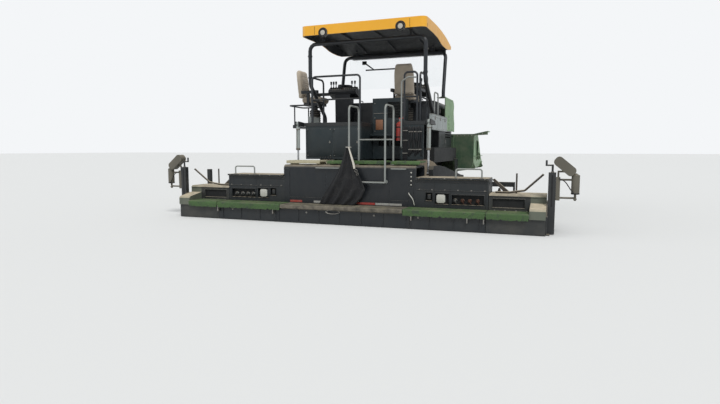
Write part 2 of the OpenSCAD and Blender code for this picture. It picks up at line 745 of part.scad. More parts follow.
// Guard rails round the rear and the sides of the platform
rail_x = platform_x - 130;
rail_y = platform_y0 + 40;
module platform_rails() color("#17191b") {
    z = platform_z;
    mid_r = rail_r - 3;
    for (side = [LEFT, RIGHT]) to_side(side) {
        upright_yz(rail_x)
            bent_tube([[rail_y + 60, z], [rail_y + 60, z + rail_h], [rail_y + 620, z + rail_h],
                [rail_y + 620, z]], rail_r, 90);
        bar_y(rail_y + 60, rail_y + 620, rail_x, z + rail_h / 2, mid_r);
    }
    // Loops across the rear: x0, x1
    for (w = [[-rail_x + 40, -60], [well_x1 + 60, rail_x - 40]]) {
        upright_xz(rail_y)
            bent_tube([[w[0], z], [w[0], z + rail_h], [w[1], z + rail_h], [w[1], z]], rail_r, 70);
        bar_x(w[0], w[1], rail_y, z + rail_h / 2, mid_r);
    }
    // Loop round the outboard seat, on two posts
    y0 = outrigger_y0 + 25;
    y1 = outrigger_y1 - 25;
    translate([0, 0, z + 420])
        bent_tube([[-1500, y0], [-1990, y0], [-1990, y1], [-1500, y1]], mid_r, 90);
    for (y = [y0, y1])
        translate([outrigger_x + 35, y, z + 1 + 2 * seat_gap]) cylinder(r = mid_r - 2, h = 420);
}

// Light hand rails of the tractor: at the well's right side and at the right front
module grab_rails() color("#7d8486") {
    y = platform_y0 - 50;
    x = well_x1 + 30;
    r = 14;
    pipe(route([[rail_x - 40 - rail_r - 8, rail_y, platform_z + rail_h - 100],
        [x + 120, y, platform_z + rail_h - 100], [x, y, platform_z + rail_h - 180], [x, y, 1350],
        [x, platform_y0 + 5 - seat_gap, 1350]], 40, 4), r, 12);
    upright_yz(platform_x - 60)
        bent_tube([[2220, platform_z + seat_gap], [2220, platform_z + 620], [2560, platform_z + 620],
            [2560, platform_z + seat_gap]], r, 60);
}

// Consoles: a column with a wide panel on top, its levers and a steering wheel
console_place = [[-975, 2700], [560, 2845]];
module consoles() color("#22262a") {
    z = platform_z + seat_gap;
    for (p = console_place) translate([p[0], p[1], 0]) {
        along_x(-180, 180)
            polygon([[-90, z], [110, z], [110, z + 640], [-60, z + 780], [-110, z + 740]]);
        along_x(-330, 330)
            polygon([[-150, z + 745], [-130, z + 700], [120, z + 600], [125, z + 640], [110, z + 760],
                [-40, z + 850], [-130, z + 790]]);
        for (x = [-290, -230, -170, 210, 280])
            translate([x, -70, z + 700]) {
                cylinder(r = 9, h = 230, $fn = 16);
                translate([0, 0, 215]) cylinder(r = 20, h = 45, $fn = 16);
            }
        translate([20, 20, z + 700]) cylinder(r = 30, h = 180);
        translate([20, 20, z + 870]) {
            difference() {
                cylinder(r = 140, h = 24, $fn = 48);
                translate([0, 0, -1]) cylinder(r = 115, h = 26, $fn = 48);
            }
            translate([0, 0, 3]) span([-125, -12, 0], [125, 12, 14]);
            translate([0, 0, -1]) cylinder(r = 40, h = 21);
        }
    }
}

// Places of the seats: x, y and turn
seat_place = [[-1525, 2330, -90], [560, 2450, 0]];
seat_z = platform_z + seat_gap;
cushion_z = 480;

module seat_frames() color("#26292b") {
    for (p = seat_place) translate([p[0], p[1], seat_z]) rotate(p[2]) {
        cylinder(r = 60, h = cushion_z - 50);
        cylinder(r = 170, h = 20);
        translate([0, 0, 60]) cylinder(r = 110, h = 260);
        span([-190, -190, cushion_z - 60], [190, 190, cushion_z]);
        // Arm rests beside the cushion
        for (side = [LEFT, RIGHT]) to_side(side) {
            span([265, -180, cushion_z + 190], [325, 210, cushion_z + 240]);
            span([189, -60, cushion_z - 50], [300, 0, cushion_z - 20]);
            span([270, -60, cushion_z - 50], [300, 0, cushion_z + 191]);
        }
    }
    // Outrigger floor of the left seat, bolted to the platform's side
    span([outrigger_x, outrigger_y0, floor_z0], [-platform_x - seat_gap, outrigger_y1, seat_z + 1]);
}

// Seat cushions and backrests, each a plain rounded block
module seat_pads() color("#a89c8c")
    for (p = seat_place) translate([p[0], p[1], seat_z + cushion_z + seat_gap]) rotate(p[2]) {
        along_x(-240, 240) round_rect([-230, 0], [270, 130], 50);
        along_x(-230, 230)
            polygon([[-230 - seat_gap, 90], [-190, 160], [-270, 720], [-300, 750], [-360, 740], [-375, 700],
                [-320, 100]]);
    }

// Light boxes along the platform's sides
module tool_boxes() color("#9da2a3")
    for (side = [LEFT, RIGHT]) {
        y0 = platform_y0 + 320;
        y1 = side == LEFT ? outrigger_y0 - run_gap : hood_y0 - 10;
        side_span(side, [platform_x + seat_gap, y0, platform_z - 150],
            [platform_x + 60, y1, platform_z + 140]);
    }

// Green panels beside the engine hood, each with a row of slots and a foot plate
// for the front bow on top
panel_z1 = hood_z1 + 70;
module side_panels() color("#3e6b4a") {
    x = platform_x + seat_gap;
    y0 = hood_y0 + 10;
    for (side = [LEFT, RIGHT]) to_side(side) {
        difference() {
            along_x(x, x + 14)
                polygon([[y0, platform_z - 120], [4060, platform_z - 120], [4060, platform_z + 60],
                    [4000, platform_z + 180], [3960, platform_z + 330], [4000, platform_z + 450],
                    [3960, panel_z1 - 60], [3860, panel_z1], [y0, panel_z1]]);
            for (i = [0 : 3])
                along_x(x - 1, x + 20)
                    translate([3400, platform_z - 60 + i * 85]) round_rect([-22, -28], [22, 28], 20);
        }
        span([hood_x - 60, y0, panel_z1 - 8], [x + 1, y0 + 220, panel_z1]);
        for (y = [y0 + 300, 3900])
            span([hood_x + seat_gap, y, platform_z - 80], [x + 1, y + 30, hood_z1 - hood_r - 10]);
    }
}

module extinguisher() color("#a83226") {
    body_r = 75;
    translate([well_x1 - body_r - 45, 1600, 1490]) {
        cylinder(r = body_r, h = 330);
        translate([0, 0, 330]) cylinder(r1 = body_r, r2 = 30, h = 40);
        translate([0, 0, 370]) cylinder(r = 24, h = 60);
        span([-20, -12, 425], [90, 12, 445]);
        // Holder on the well's side wall
        for (z = [60, 250])
            span([body_r - 6, -30, z], [body_r + 50 - seat_gap, 30, z + 25]);
    }
}

// Canopy roof: a thin shell. Its skirt is deep at the rear, waves along the sides
// and ends at the front corners
rim_z = roof_z - 30;
rim_z0 = rim_z - rim_h;
lamp_z = rim_z0 + 35;
roof_l = roof_y1 - roof_y0;
// Lower edge of the skirt: share of the roof's length and height over the rim's edge
skirt_line = [[1, 15], [0.93, -15], [0.83, -60], [0.72, -75], [0.62, -72], [0.54, -58], [0.47, -25],
    [0.4, -5], [0.25, 5], [0.12, 0], [0, 0]];
function roof_top(t, inset) = rim_z - inset + (roof_z - rim_z) * sin(t * 150) - 165 * pow(t, 3);
roof_steps = 12;
module roof_side(inset, drop)
    polygon(concat(
        [for (i = [0 : roof_steps]) let (t = i / roof_steps)
            [roof_y0 + inset + t * (roof_l - 2 * inset), roof_top(t, inset)]],
        [for (p = skirt_line)
            [roof_y0 + inset + p[0] * (roof_l - 2 * inset), rim_z0 + p[1] - drop]]));

// Height of the roof's faceted upper face at y, for a given inset
function roof_at(y, inset) =
    let (t = roof_steps * (y - roof_y0 - inset) / (roof_l - 2 * inset), i = floor(t))
    roof_top(i / roof_steps, inset) * (1 - t + i) + roof_top((i + 1) / roof_steps, inset) * (t - i);

// Top of a piece between y0 and y1 that stands up to the roof's underside
function roof_seat(y0, y1, inset) = min(roof_at(y0, inset), roof_at(y1, inset)) - seat_gap;

// The roof's form, inset on all sides, with its lower edge dropped
module roof_form(inset, drop)
    intersection() {
        along_x(-roof_x + inset, roof_x - inset) roof_side(inset, drop);
        translate([0, 0, roof_z - 600]) linear_extrude(700)
            round_rect([-roof_x + inset, roof_y0 + inset], [roof_x - inset, roof_y1 - inset], 110 - inset);
    }

module canopy_roof() color("#e3b02c")
    difference() {
        roof_form(0, 0);
        roof_form(roof_t, 9);
        for (side = [LEFT, RIGHT])
            bar_y(roof_y0 - 5, roof_y0 + roof_t + 5, side * lamp_x, lamp_z, lamp_r + 14);
    }

// Lining under the roof's shell, with ribs and a front panel
rib_h = 40;
lining_t = 8;
lining_out = roof_t + seat_gap;
lining_in = lining_out + lining_t;
pane_y = roof_y1 - 200;
module canopy_lining() color("#2a2c2e") {
    difference() {
        roof_form(lining_out, -2);
        roof_form(lining_in, 9);
        span([-roof_x, roof_y0 - 1, rim_z0 - 200], [roof_x, roof_y0 + 100, roof_z]);
    }
    for (x = [-700, 0, 700])
        along_x(x - 20, x + 20)
            intersection() {
                difference() {
                    roof_side(lining_in - 1, 0);
                    roof_side(lining_in + rib_h, 9);
                }
                square_to([roof_y0 + 150, rim_z0], [pane_y - 30, roof_z]);
            }
    span([-roof_x + 130, roof_y1 - 34, rim_z0 - 90], [roof_x - 130, roof_y1 - lining_out - 2, rim_z0 + 20]);
}

module work_lamps() color("#d8d8d0")
    for (side = [LEFT, RIGHT]) {
        x = side * lamp_x;
        bar_y(roof_y0 - 12, roof_y0 + 60, x, lamp_z, lamp_r);
        bar_y(roof_y0 + 59, roof_y0 + 95, x, lamp_z + 20, 30);
        span([x - 12, roof_y0 + 65, lamp_z + 30],
            [x + 12, roof_y0 + 85, roof_seat(roof_y0 + 65, roof_y0 + 85, roof_t)]);
    }

// Bows across the machine: each an arch whose two posts stand on the platform or
// on the side panels, with stays up to the lining
rear_bow_z = rim_z0 - 115;
front_bow_z = rim_z0 - 85;
bow_bend = 130;
module canopy_bows() color("#2b2e33") {
    rear_foot_y = platform_y0 + 910;
    front_foot_y = hood_y0 + 110;
    bow([[bow_x, rear_bow_y, rear_bow_z], [bow_x, rear_bow_y, platform_z + 770],
        [bow_x, rear_foot_y, platform_z + 160], [bow_x, rear_foot_y, platform_z + seat_gap]]);
    bow([[bow_x, front_bow_y, front_bow_z], [bow_x, front_bow_y - 70, front_bow_z - 240],
        [bow_x, front_foot_y, panel_z1 + 120], [bow_x, front_foot_y, panel_z1 + seat_gap]]);
    for (x = [-900, 900]) {
        bow_stay(x, rear_bow_y, rear_bow_z);
        bow_stay(x, front_bow_y, front_bow_z);
    }
}

module bow(half) {
    n = len(half) - 1;
    other = [for (i = [n : -1 : 0]) [-half[i].x, half[i].y, half[i].z]];
    pipe(route(concat(other, half), bow_bend, 4), bow_r, 16);
}

module bow_stay(x, y, z)
    span([x - 25, y - 12, z + bow_r - 8], [x + 25, y + 12, roof_seat(y - 12, y + 12, lining_in)]);

// Pane in front of the operators with the wiper on its rear face
pane_z0 = 2720;
module windscreen() color("#9fb4b8") {
    half = bow_x - bow_r - 25;
    y = pane_y;
    span([-half, y, pane_z0], [half, y + 6, roof_seat(y, y + 6, lining_in)]);
    span([-800, y - 40, rim_z0 - 240], [-700, y - seat_gap, rim_z0 - 160]);
    along_y(y - 22, y - 12)
        polygon([[-765, rim_z0 - 205], [-740, rim_z0 - 180], [-520, rim_z0 - 345], [-535, rim_z0 - 365]]);
    span([-720, y - 24, rim_z0 - 380], [50, y - 2, rim_z0 - 350]);
}

// Hopper wing: a trough plate that turns up into the outer skin, with a lip and a
// rear wall; its upper edge falls in an S to the front
skin_x = wing_top_x - wing_hinge_x;
wing_line = [[wing_hinge_x, wing_hinge_z], [wing_hinge_x + 250, wing_hinge_z + 140],
    [wing_hinge_x + 560, wing_hinge_z + 190], [wing_top_x - 150, wing_hinge_z + 225],
    [wing_top_x - 40, wing_hinge_z + 290], [wing_top_x, wing_hinge_z + 430], [wing_top_x, wing_top_z]];
lip_z = wing_top_z + 70;

module wing(side) color("#3f7a4c") {
    y0 = hopper_y0;
    header_x0 = bulkhead_x - 40;
    to_side(side) {
        difference() {
            union() {
                along_y(y0, hopper_y1) polygon(sheet(wing_line, wing_t));
                along_y(y0, hopper_y1)
                    polygon([[wing_top_x - wing_t, wing_top_z - wing_t],
                        [wing_top_x + wing_flange, lip_z - wing_t], [wing_top_x + wing_flange, lip_z],
                        [wing_top_x - wing_t, wing_top_z]]);
                along_y(y0, hopper_y1) translate([hinge_x, wing_hinge_z]) circle(r = hinge_r - 1);
            }
            // The S of the upper edge
            along_x(wing_hinge_x + 700, wing_top_x + wing_flange + 10)
                polygon(concat([for (i = [0 : 14]) let (t = i / 14)
                    [y0 + 420 + t * 1200, lip_z + 1 - (lip_z - wing_front_z) * (1 - cos(180 * t)) / 2]],
                    [[hopper_y1 + 10, wing_front_z], [hopper_y1 + 10, lip_z + 10]]));
            // Room for the hinge lugs
            for (y = lug_places)
                span([hinge_x - 40, y - lug_t / 2 - 4, wing_hinge_z - 40],
                    [hinge_x + 60, y + lug_t / 2 + 4, wing_hinge_z + 60]);
        }
        bar_y(y0, hopper_y1, hinge_x, wing_hinge_z, hinge_pin_r);
        along_y(y0, y0 + wing_t)
            polygon(concat(wing_line, [[header_x0 + 60, wing_top_z],
                [wing_hinge_x + 260, wing_hinge_z + 560], [wing_hinge_x + 10, wing_hinge_z + 200]]));
        // Header along the top of the rear wall
        along_y(y0, y0 + 36)
            polygon([[header_x0, wing_top_z - 60], [wing_top_x + wing_flange, lip_z - 90],
                [wing_top_x + wing_flange, lip_z], [wing_top_x, wing_top_z], [header_x0, wing_top_z]]);
        // Rear and front ribs on the outer skin
        for (y = [y0 + 90, hopper_y1 - 300])
            along_y(y, y + wing_t)
                polygon([[wing_top_x - 150, wing_hinge_z + 225], [wing_top_x + 5, wing_hinge_z + 250],
                    [wing_top_x + 45, wing_front_z - 120], [wing_top_x, wing_front_z - 20],
                    [wing_top_x - 2, wing_hinge_z + 430], [wing_top_x - 42, wing_hinge_z + 290]]);
    }
}

module apron() color("#3a4a40") {
    x = tunnel_x - 12;
    along_x(-x, x)
        polygon([[apron_y, apron_z - 10], [apron_y, apron_z + 10], [apron_y + apron_l, apron_z + 60],
            [apron_y + apron_l, apron_z + 40]]);
    bar_x(-rail_x1 + 2, rail_x1 - 2, apron_y, apron_z, apron_pin_r);
}

module push_beam() color("#33373a") {
    y = push_front_y - push_r;
    half = push_x + push_l / 2 + 60;
    back = y - push_r - 75;
    beam_y1 = back + 60;
    beam_z0 = push_z - 90;
    span([-half, back, beam_z0], [half, beam_y1, push_z - 30]);
    for (side = [LEFT, RIGHT])
        for (e = [-1, 1])
            difference() {
                x = side * push_x + e * (push_l / 2 + 25);
                span([x - 15, beam_y1 - 1, beam_z0], [x + 15, y + 40, push_z + 45]);
                bar_x(x - 20, x + 20, y, push_z, 25 + pin_fit);
            }
    // Clevis round the tongue, with its pin
    clevis_t = 20;
    low = tongue_z - tongue_t / 2 - clevis_t - 1;
    for (z = [low, tongue_z + tongue_t / 2 + 1])
        span([-80, tongue_y - 60, z], [80, beam_y1, z + clevis_t]);
    span([-80, back, low], [80, beam_y1, beam_z0 + 1]);
    translate([0, tongue_y, tongue_z - tongue_t]) cylinder(r = tongue_pin_r, h = 2 * tongue_t);
}

module push_roller(side) color("#8a8780") {
    y = push_front_y - push_r;
    bar_x(side * push_x - push_l / 2, side * push_x + push_l / 2, y, push_z, push_r);
    bar_x(side * push_x - push_l / 2 - 38, side * push_x + push_l / 2 + 38, y, push_z, 25);
}

// Tow arms: box beams from the tow pins to the screed's side boxes, each with the
// lug in which the lift rod's pin hangs
lift_low = [1100, 880];
module tow_arms() color("#3a4145")
    for (side = [LEFT, RIGHT]) to_side(side)
        difference() {
            union() {
                along_x(arm_x, arm_x + arm_t)
                    polygon([[tow_y + 110, tow_z - 90], [tow_y + 110, tow_z + 90],
                        [tow_y - 300, tow_z + 120], [2000, 980], [1500, 1020], [arm_y0 + 60, 1020],
                        [arm_y0, 960], [arm_y0, 780], [1900, 780], [tow_y - 300, tow_z - 110]]);
                span([arm_x - 19, lift_low[0] - 60, lift_low[1] - 55],
                    [arm_x + 1, lift_low[0] + 60, lift_low[1] + 42]);
            }
            bar_x(arm_x - 5, arm_x + arm_t + 5, tow_y, tow_z, tow_r + pin_fit);
            bar_x(arm_x - 25, arm_x + 10, lift_low[0], lift_low[1], lift_pin_r + lift_play);
        }
arm_y0 = sole_y1 - 100 + seat_gap;

// Outline of a sole with its front plate, up to the given height
nose = 30;
box_wall = 30;
function sole_outline(top) = [[60, 12], [80, 0], [sole_y1 - nose, 0], [sole_y1, nose], [sole_y1, top]];

// Basic screed: sole box, front plate and the frame behind the hood
module screed_body() color("#34383a")
    along_x(-basic_x, basic_x)
        difference() {
            polygon(concat(sole_outline(420), [[sole_y1 - 80, 520], [sole_y1 - 80, 700], [face_y + 60, 700],
                [face_y + 60, sole_h], [60, sole_h]]));
            square_to([120, 60], [sole_y1 - 60, sole_h - box_wall]);
            square_to([face_y + 100, sole_h + 20], [sole_y1 - 130, 660]);
        }

module screed_hood() color("#3b4245") {
    r = 70;
    z0 = sole_h + seat_gap;
    along_x(-basic_x, basic_x)
        difference() {
            union() {
                polygon([[face_y, z0], [face_y + 58, z0], [face_y + 58, 702], [sole_y1 - 78, 702],
                    [sole_y1 - 78, 530], [sole_y1, 430], [sole_y1, screed_top_z - r],
                    [face_y, screed_top_z - r]]);
                translate([face_y + r, screed_top_z - r]) circle(r = r);
                translate([sole_y1 - r, screed_top_z - r]) circle(r = r);
                square_to([face_y + r, screed_top_z - r - 1], [sole_y1 - r, screed_top_z]);
            }
            square_to([face_y + 40, 740], [sole_y1 - 40, screed_top_z - 40]);
        }
    // Side strips with a groove at the hood's ends
    for (side = [LEFT, RIGHT])
        side_span(side, [basic_x - 120, face_y - 9, z0 + 20], [basic_x - 40, face_y + 1, screed_top_z - r]);
}

// Raised treads on top of the hood, on both sides of the hand rails
step_places = [[-1250, -560], [-430, 20], [130, 690], [800, 1330]];
module hood_steps() color("#6a9a63")
    for (p = step_places) {
        z = screed_top_z + seat_gap;
        span([p[0], face_y + 60, z + 50], [p[1], 900, z + 75]);
        for (x = [p[0] + 60, min(p[1], basic_x) - 90])
            span([x, face_y + 100, z], [x + 30, 820, z + 51]);
    }

// Fixed side box with the bores of the end unit's guide tubes, recesses in its
// rear face and a ledge along its top
guide_place = [[560, 480], [840, 480]];
module side_boxes() color("#3a4043")
    for (side = [LEFT, RIGHT]) to_side(side)
        difference() {
            union() {
                along_x(basic_x + seat_gap, box_x)
                    polygon(concat(sole_outline(420), [[sole_y1 - 100, 560], [sole_y1 - 100, box_top_z - 30],
                        [sole_y1 - 130, box_top_z], [face_y + 30, box_top_z], [face_y, box_top_z - 30],
                        [face_y, sole_h], [60, sole_h]]));
                span([basic_x + 8, face_y - 40, box_top_z - 22], [box_x, sole_y1 - 130, box_top_z + 6]);
            }
            for (g = guide_place)
                bar_x(box_x - guide_l - 20, box_x + 1, g[0], g[1], guide_r + pin_fit);
            span([basic_x - 1, 120, 60], [box_x - box_wall, sole_y1 - 60, sole_h - box_wall]);
            span([basic_x - 1, face_y + 90, sole_h], [box_x - box_wall, sole_y1 - 160, 385]);
            // Recesses: x0, x1, z0, z1
            for (p = [[1450, 1570, 450, 590], [1620, 1850, 400, 580], [1900, 2430, 400, 560]])
                span([p[0], face_y - 1, p[2]], [p[1], face_y + 60, p[3]]);
        }

// Small pieces on the screed's rear faces: round-cornered covers, hose valves and
// the handles over the side boxes
module screed_fittings() color("#b9bab5")
    for (side = [LEFT, RIGHT]) to_side(side) {
        upright_xz(face_y + 60 - seat_gap) linear_extrude(70)
            round_rect([1640, 420], [1790, 565], 35);
        for (x = [1960, 2080, 2200, 2330])
            translate([x, face_y + 60 - seat_gap, 470]) rotate([90, 0, 0]) {
                cylinder(r = 24, h = 62, $fn = 24);
                translate([0, 0, 40]) cylinder(r = 34, h = 14, $fn = 6);
            }
        translate([0, 0, box_top_z + 6 + seat_gap]) upright_xz(face_y + 60)
            bent_tube([[1950, 0], [1950, 150], [2380, 150], [2380, 0]], 13, 40);
    }

// Walkway treads over the sole boxes: x0 and x1 of each, and the same on the end units
tread_split = 1150;
module walkway() color("#5d7a58")
    for (x = [[-box_x, -tread_split - 10], [-tread_split, tread_split], [tread_split + 10, box_x]])
        tread(x[0], x[1]);

module tread(x0, x1)
    along_x(x0, x1)
        polygon([[0, sole_h + 20], [0, tread_z - 12], [12, tread_z], [tread_l, tread_z],
            [tread_l, tread_z - 8], [60, tread_z - 8], [60, sole_h + seat_gap], [40, sole_h + seat_gap],
            [14, sole_h + 20]]);

// Two inverted-U hand rails with a step bar at the rear of the hood
hand_rail_x = [70, 740];
module ladder_rails() color("#7d8486") {
    r = 17;
    y0 = face_y - 60;
    y1 = 840;
    for (x = hand_rail_x) {
        upright_yz(x)
            bent_tube([[y0, 740], [y0, 2090], [y1, 2090], [y1, screed_top_z + seat_gap]], r, 90);
        bar_y(y0, face_y - seat_gap, x, 760, r - 3);
    }
    bar_x(hand_rail_x[0], hand_rail_x[1], y0, 745, r - 1);
    bar_x(hand_rail_x[0], hand_rail_x[1], y1, 1500, r - 3);
}

module tarp() color("#1b1c1e")
    along_y(face_y - 95, face_y - 60 - 17 - seat_gap)
        polygon([[30, 1360], [95, 1360], [200, 1000], [430, 620], [520, tread_z + seat_gap],
            [-500, tread_z + seat_gap], [-380, 560], [-120, 950]]);

// Sliding end unit: its sole, low box and guide tubes
module end_unit(side) color("#4b564b") {
    end_box(side);
    end_brace(side);
}

module end_box(side)
    to_side(side) {
        x0 = box_x + run_gap;
        difference() {
            along_x(x0, end_x)
                polygon(concat(sole_outline(300), [[sole_y1 - 100, 420], [sole_y1 - 100, end_top_z - 30],
                    [sole_y1 - 130, end_top_z], [face_y + 30, end_top_z], [face_y, end_top_z - 30],
                    [face_y, sole_h], [60, sole_h]]));
            span([x0 - 1, 120, 60], [end_x - box_wall, sole_y1 - 60, sole_h - box_wall]);
            span([x0 - 1, face_y + 60, sole_h], [end_x - box_wall, sole_y1 - 160, 400]);
            span([x0 + 60, face_y - 1, 380], [end_x - 330, face_y + 25, 520]);
        }
        for (g = guide_place)
            bar_x(box_x - guide_l, x0 + 1, g[0], g[1], guide_r);
        // Closing box at the outer end of the tread
        along_x(end_x - 240, end_x)
            polygon([[30, sole_h - 1], [30, 380], [60, 410], [face_y + 1, 470], [face_y + 1, sole_h - 1]]);
    }

// Tread of an end unit, up to its closing box
module end_tread(side) color("#5d7a58")
    to_side(side) tread(box_x + run_gap, end_x - 240 - seat_gap);

// Brace over the gap to the side box, hose to the end gate's post and a thin mast
module end_brace(side)
    to_side(side) {
        z = end_top_z + seat_gap;
        upright_xz(face_y + 330) linear_extrude(50)
            polygon([[box_x + 20, box_top_z - 20], [box_x + 60, box_top_z - 5], [box_x + 330, z],
                [box_x + 230, z]]);
        hose_y = face_y + 200;
        hose_r = 17;
        pipe(route([[box_x + 90, hose_y, z + hose_r], [box_x + 300, hose_y - 20, z + hose_r],
            [box_x + 560, hose_y - 60, z + 60], [end_x - 60, hose_y - 160, gate_post_z - 40]], 60, 4),
            hose_r, 12);
        translate([box_x + 420, face_y + 260, z]) cylinder(r = 14, h = 330, $fn = 16);
    }

// End gate: the side plate on its ski, with the two posts that carry it
gate_t = 16;
gate_hole_r = 9;
gate_hole_y = 700;
gate_hole_z = 260;
gate_spacing_y = 400;
gate_spacing_z = 160;
module end_gate(side) color("#2a2d2e")
    to_side(side) {
        x = end_x + seat_gap;
        x1 = x + gate_t;
        difference() {
            along_x(x, x1)
                polygon([[140, 0], [1500, 0], [1600, 90], [1600, 300], [1100, 460], [260, 460], [80, 300],
                    [80, 60]]);
            for (dy = [-0.5, 0.5])
                for (dz = [-0.5, 0.5])
                    bar_x(x - 5, x1 + 5, gate_hole_y + dy * gate_spacing_y,
                        gate_hole_z + dz * gate_spacing_z, gate_hole_r);
        }
        span([x1 - 1, 140, 0], [x + 60, 1500, 14]);
        span([x1 - 1, 260, 13], [x1 + post_w, 350, gate_post_z]);
        span([x1 - 1, 1060, 13], [x1 + post_w - 30, 1130, gate_post_z - 70]);
        // Crank of the rear post
        translate([x1 + post_w / 2, 305, gate_post_z - 1]) cylinder(r = 16, h = 120, $fn = 16);
        bar_x(x1 + post_w / 2 - 90, x1 + post_w / 2 + 16, 305, gate_post_z + 110, 12);
        translate([x1 + post_w / 2 - 90, 305, gate_post_z + 98]) cylinder(r = 15, h = 90, $fn = 16);
    }

// Height sensor, covered hand box and their arms on the rear post
sensor_x0 = end_x + gate_t + post_w + 2 * seat_gap;
sensor_reach = sensor_x0 + sensor_arm;
module sensor(side) color("#6f6a5c")
    to_side(side) {
        y = 305;
        x1 = sensor_reach - 60;
        for (z = [580, 860])
            bar_x(sensor_x0, x1, y, z, 15);
        span([sensor_x0, y - 40, 540], [sensor_x0 + 60, y + 40, 900]);
        translate([x1, y, 540]) cylinder(r = 18, h = 420);
        translate([x1, y, 640]) cylinder(r = 60, h = 290);
        // Covered box, leaning outwards over the arms
        translate([sensor_x0 + 130, y - 70, 1060]) rotate([0, 40, 0])
            along_y(0, 140) round_rect([-190, -75], [170, 75], 60);
        bar_x(sensor_x0 + 20, sensor_x0 + 160, y, 985, 14);
        translate([sensor_x0 + 30, y, 870]) cylinder(r = 14, h = 120);
    }

// Screed lift cylinders between the platform's brackets and the tow arms
lift_line = lift_top - lift_low;
lift_angle = atan2(lift_line.x, lift_line.y);
lift_l = norm(lift_line);
lift_pin_r = 16;
lift_play = 18;
lift_eye_pin_r = 18;
barrel_top = 60;
barrel_l = 460;
rod_in = 74;

// Draws along the cylinder, with Z up from the lower eye to the upper one at 0
module at_lift() translate([lift_x, lift_top[0], lift_top[1]]) rotate([-lift_angle, 0, 0]) children();

module barrel(side) color("#a9adb0")
    to_side(side) at_lift()
        difference() {
            union() {
                translate([0, 0, -barrel_top - barrel_l]) cylinder(r = barrel_r, h = barrel_l);
                bar_x(-22, 22, 0, 0, barrel_r + 4);
                span([-22, -25, -barrel_top - 1], [22, 25, 0]);
            }
            translate([0, 0, -barrel_top - barrel_l - 1]) cylinder(r = rod_r + pin_fit, h = barrel_l - 3);
            bar_x(-30, 30, 0, 0, lift_eye_pin_r + pin_fit);
        }

module rod(side) color("#c9ccce")
    to_side(side) at_lift() {
        translate([0, 0, -lift_l]) cylinder(r = rod_r, h = lift_l - barrel_top - barrel_l + rod_in);
        bar_x(-24, 20, 0, -lift_l, 30);
        bar_x(19, 42, 0, -lift_l, lift_pin_r);
    }

site() chassis();
site() hopper_frame();
site() tow_brackets();
site() crawlers();
site() crawler_frames();
site() conveyor();
site() bulkhead();
site() engine_block();
site() engine_hood();
site() exhaust();
site() side_lockers();
site() crawler_guards();
site() auger_carrier();
site() auger(LEFT);  // auger_left
site() auger(RIGHT);  // auger_right
site() platform();
site() rear_walls();
site() centre_cabinet();
site() lift_brackets();
site() platform_rails();
site() grab_rails();
site() consoles();
site() seat_frames();
site() seat_pads();
site() tool_boxes();
site() side_panels();
site() extinguisher();
site() canopy_roof();
site() canopy_lining();
site() work_lamps();
site() canopy_bows();
site() windscreen();
site() wing(LEFT);  // wing_left
site() wing(RIGHT);  // wing_right
site() apron();
site() push_beam();
site() push_roller(LEFT);  // push_roller_left
site() push_roller(RIGHT);  // push_roller_right
site() tow_arms();
site() screed_body();
site() screed_hood();
site() hood_steps();
site() side_boxes();
site() screed_fittings();
site() walkway();
site() ladder_rails();
site() tarp();
site() end_unit(LEFT);  // end_unit_left
site() end_unit(RIGHT);  // end_unit_right
site() end_tread(LEFT);  // end_tread_left
site() end_tread(RIGHT);  // end_tread_right
site() end_gate(LEFT);  // end_gate_left
site() end_gate(RIGHT);  // end_gate_right
site() sensor(LEFT);  // sensor_left
site() sensor(RIGHT);  // sensor_right
site() barrel(LEFT);  // barrel_left
site() barrel(RIGHT);  // barrel_right
site() rod(LEFT);  // rod_left
site() rod(RIGHT);  // rod_right
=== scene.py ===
"""Looks of a crawler asphalt paver, built round its packed construction."""
import json
import math

import bmesh
import bpy
from mathutils import Matrix, Vector, noise


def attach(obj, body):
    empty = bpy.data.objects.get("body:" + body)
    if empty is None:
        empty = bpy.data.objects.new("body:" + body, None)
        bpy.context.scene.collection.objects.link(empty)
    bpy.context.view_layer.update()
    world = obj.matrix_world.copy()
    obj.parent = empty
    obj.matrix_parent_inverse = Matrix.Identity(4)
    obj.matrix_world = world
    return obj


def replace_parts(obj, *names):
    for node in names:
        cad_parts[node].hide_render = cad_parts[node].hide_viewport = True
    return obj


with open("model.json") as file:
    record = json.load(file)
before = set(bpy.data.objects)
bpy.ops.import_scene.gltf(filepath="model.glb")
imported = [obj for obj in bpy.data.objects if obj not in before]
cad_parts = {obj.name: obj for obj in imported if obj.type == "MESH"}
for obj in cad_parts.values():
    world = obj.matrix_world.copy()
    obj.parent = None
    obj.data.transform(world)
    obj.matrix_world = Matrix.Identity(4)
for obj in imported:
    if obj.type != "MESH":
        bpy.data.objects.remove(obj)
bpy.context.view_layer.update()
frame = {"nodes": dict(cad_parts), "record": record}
NODES = frame["nodes"]

# Camera: a 26 mm lens on a 36 mm wide frame, standing behind the machine on its right
CAMERA_PLACE = (3.50, -11.59, 1.33)
CAMERA_LENS = 26.0
CAMERA_PITCH = math.radians(-5.82)
CAMERA_TURN = math.radians(20.5)

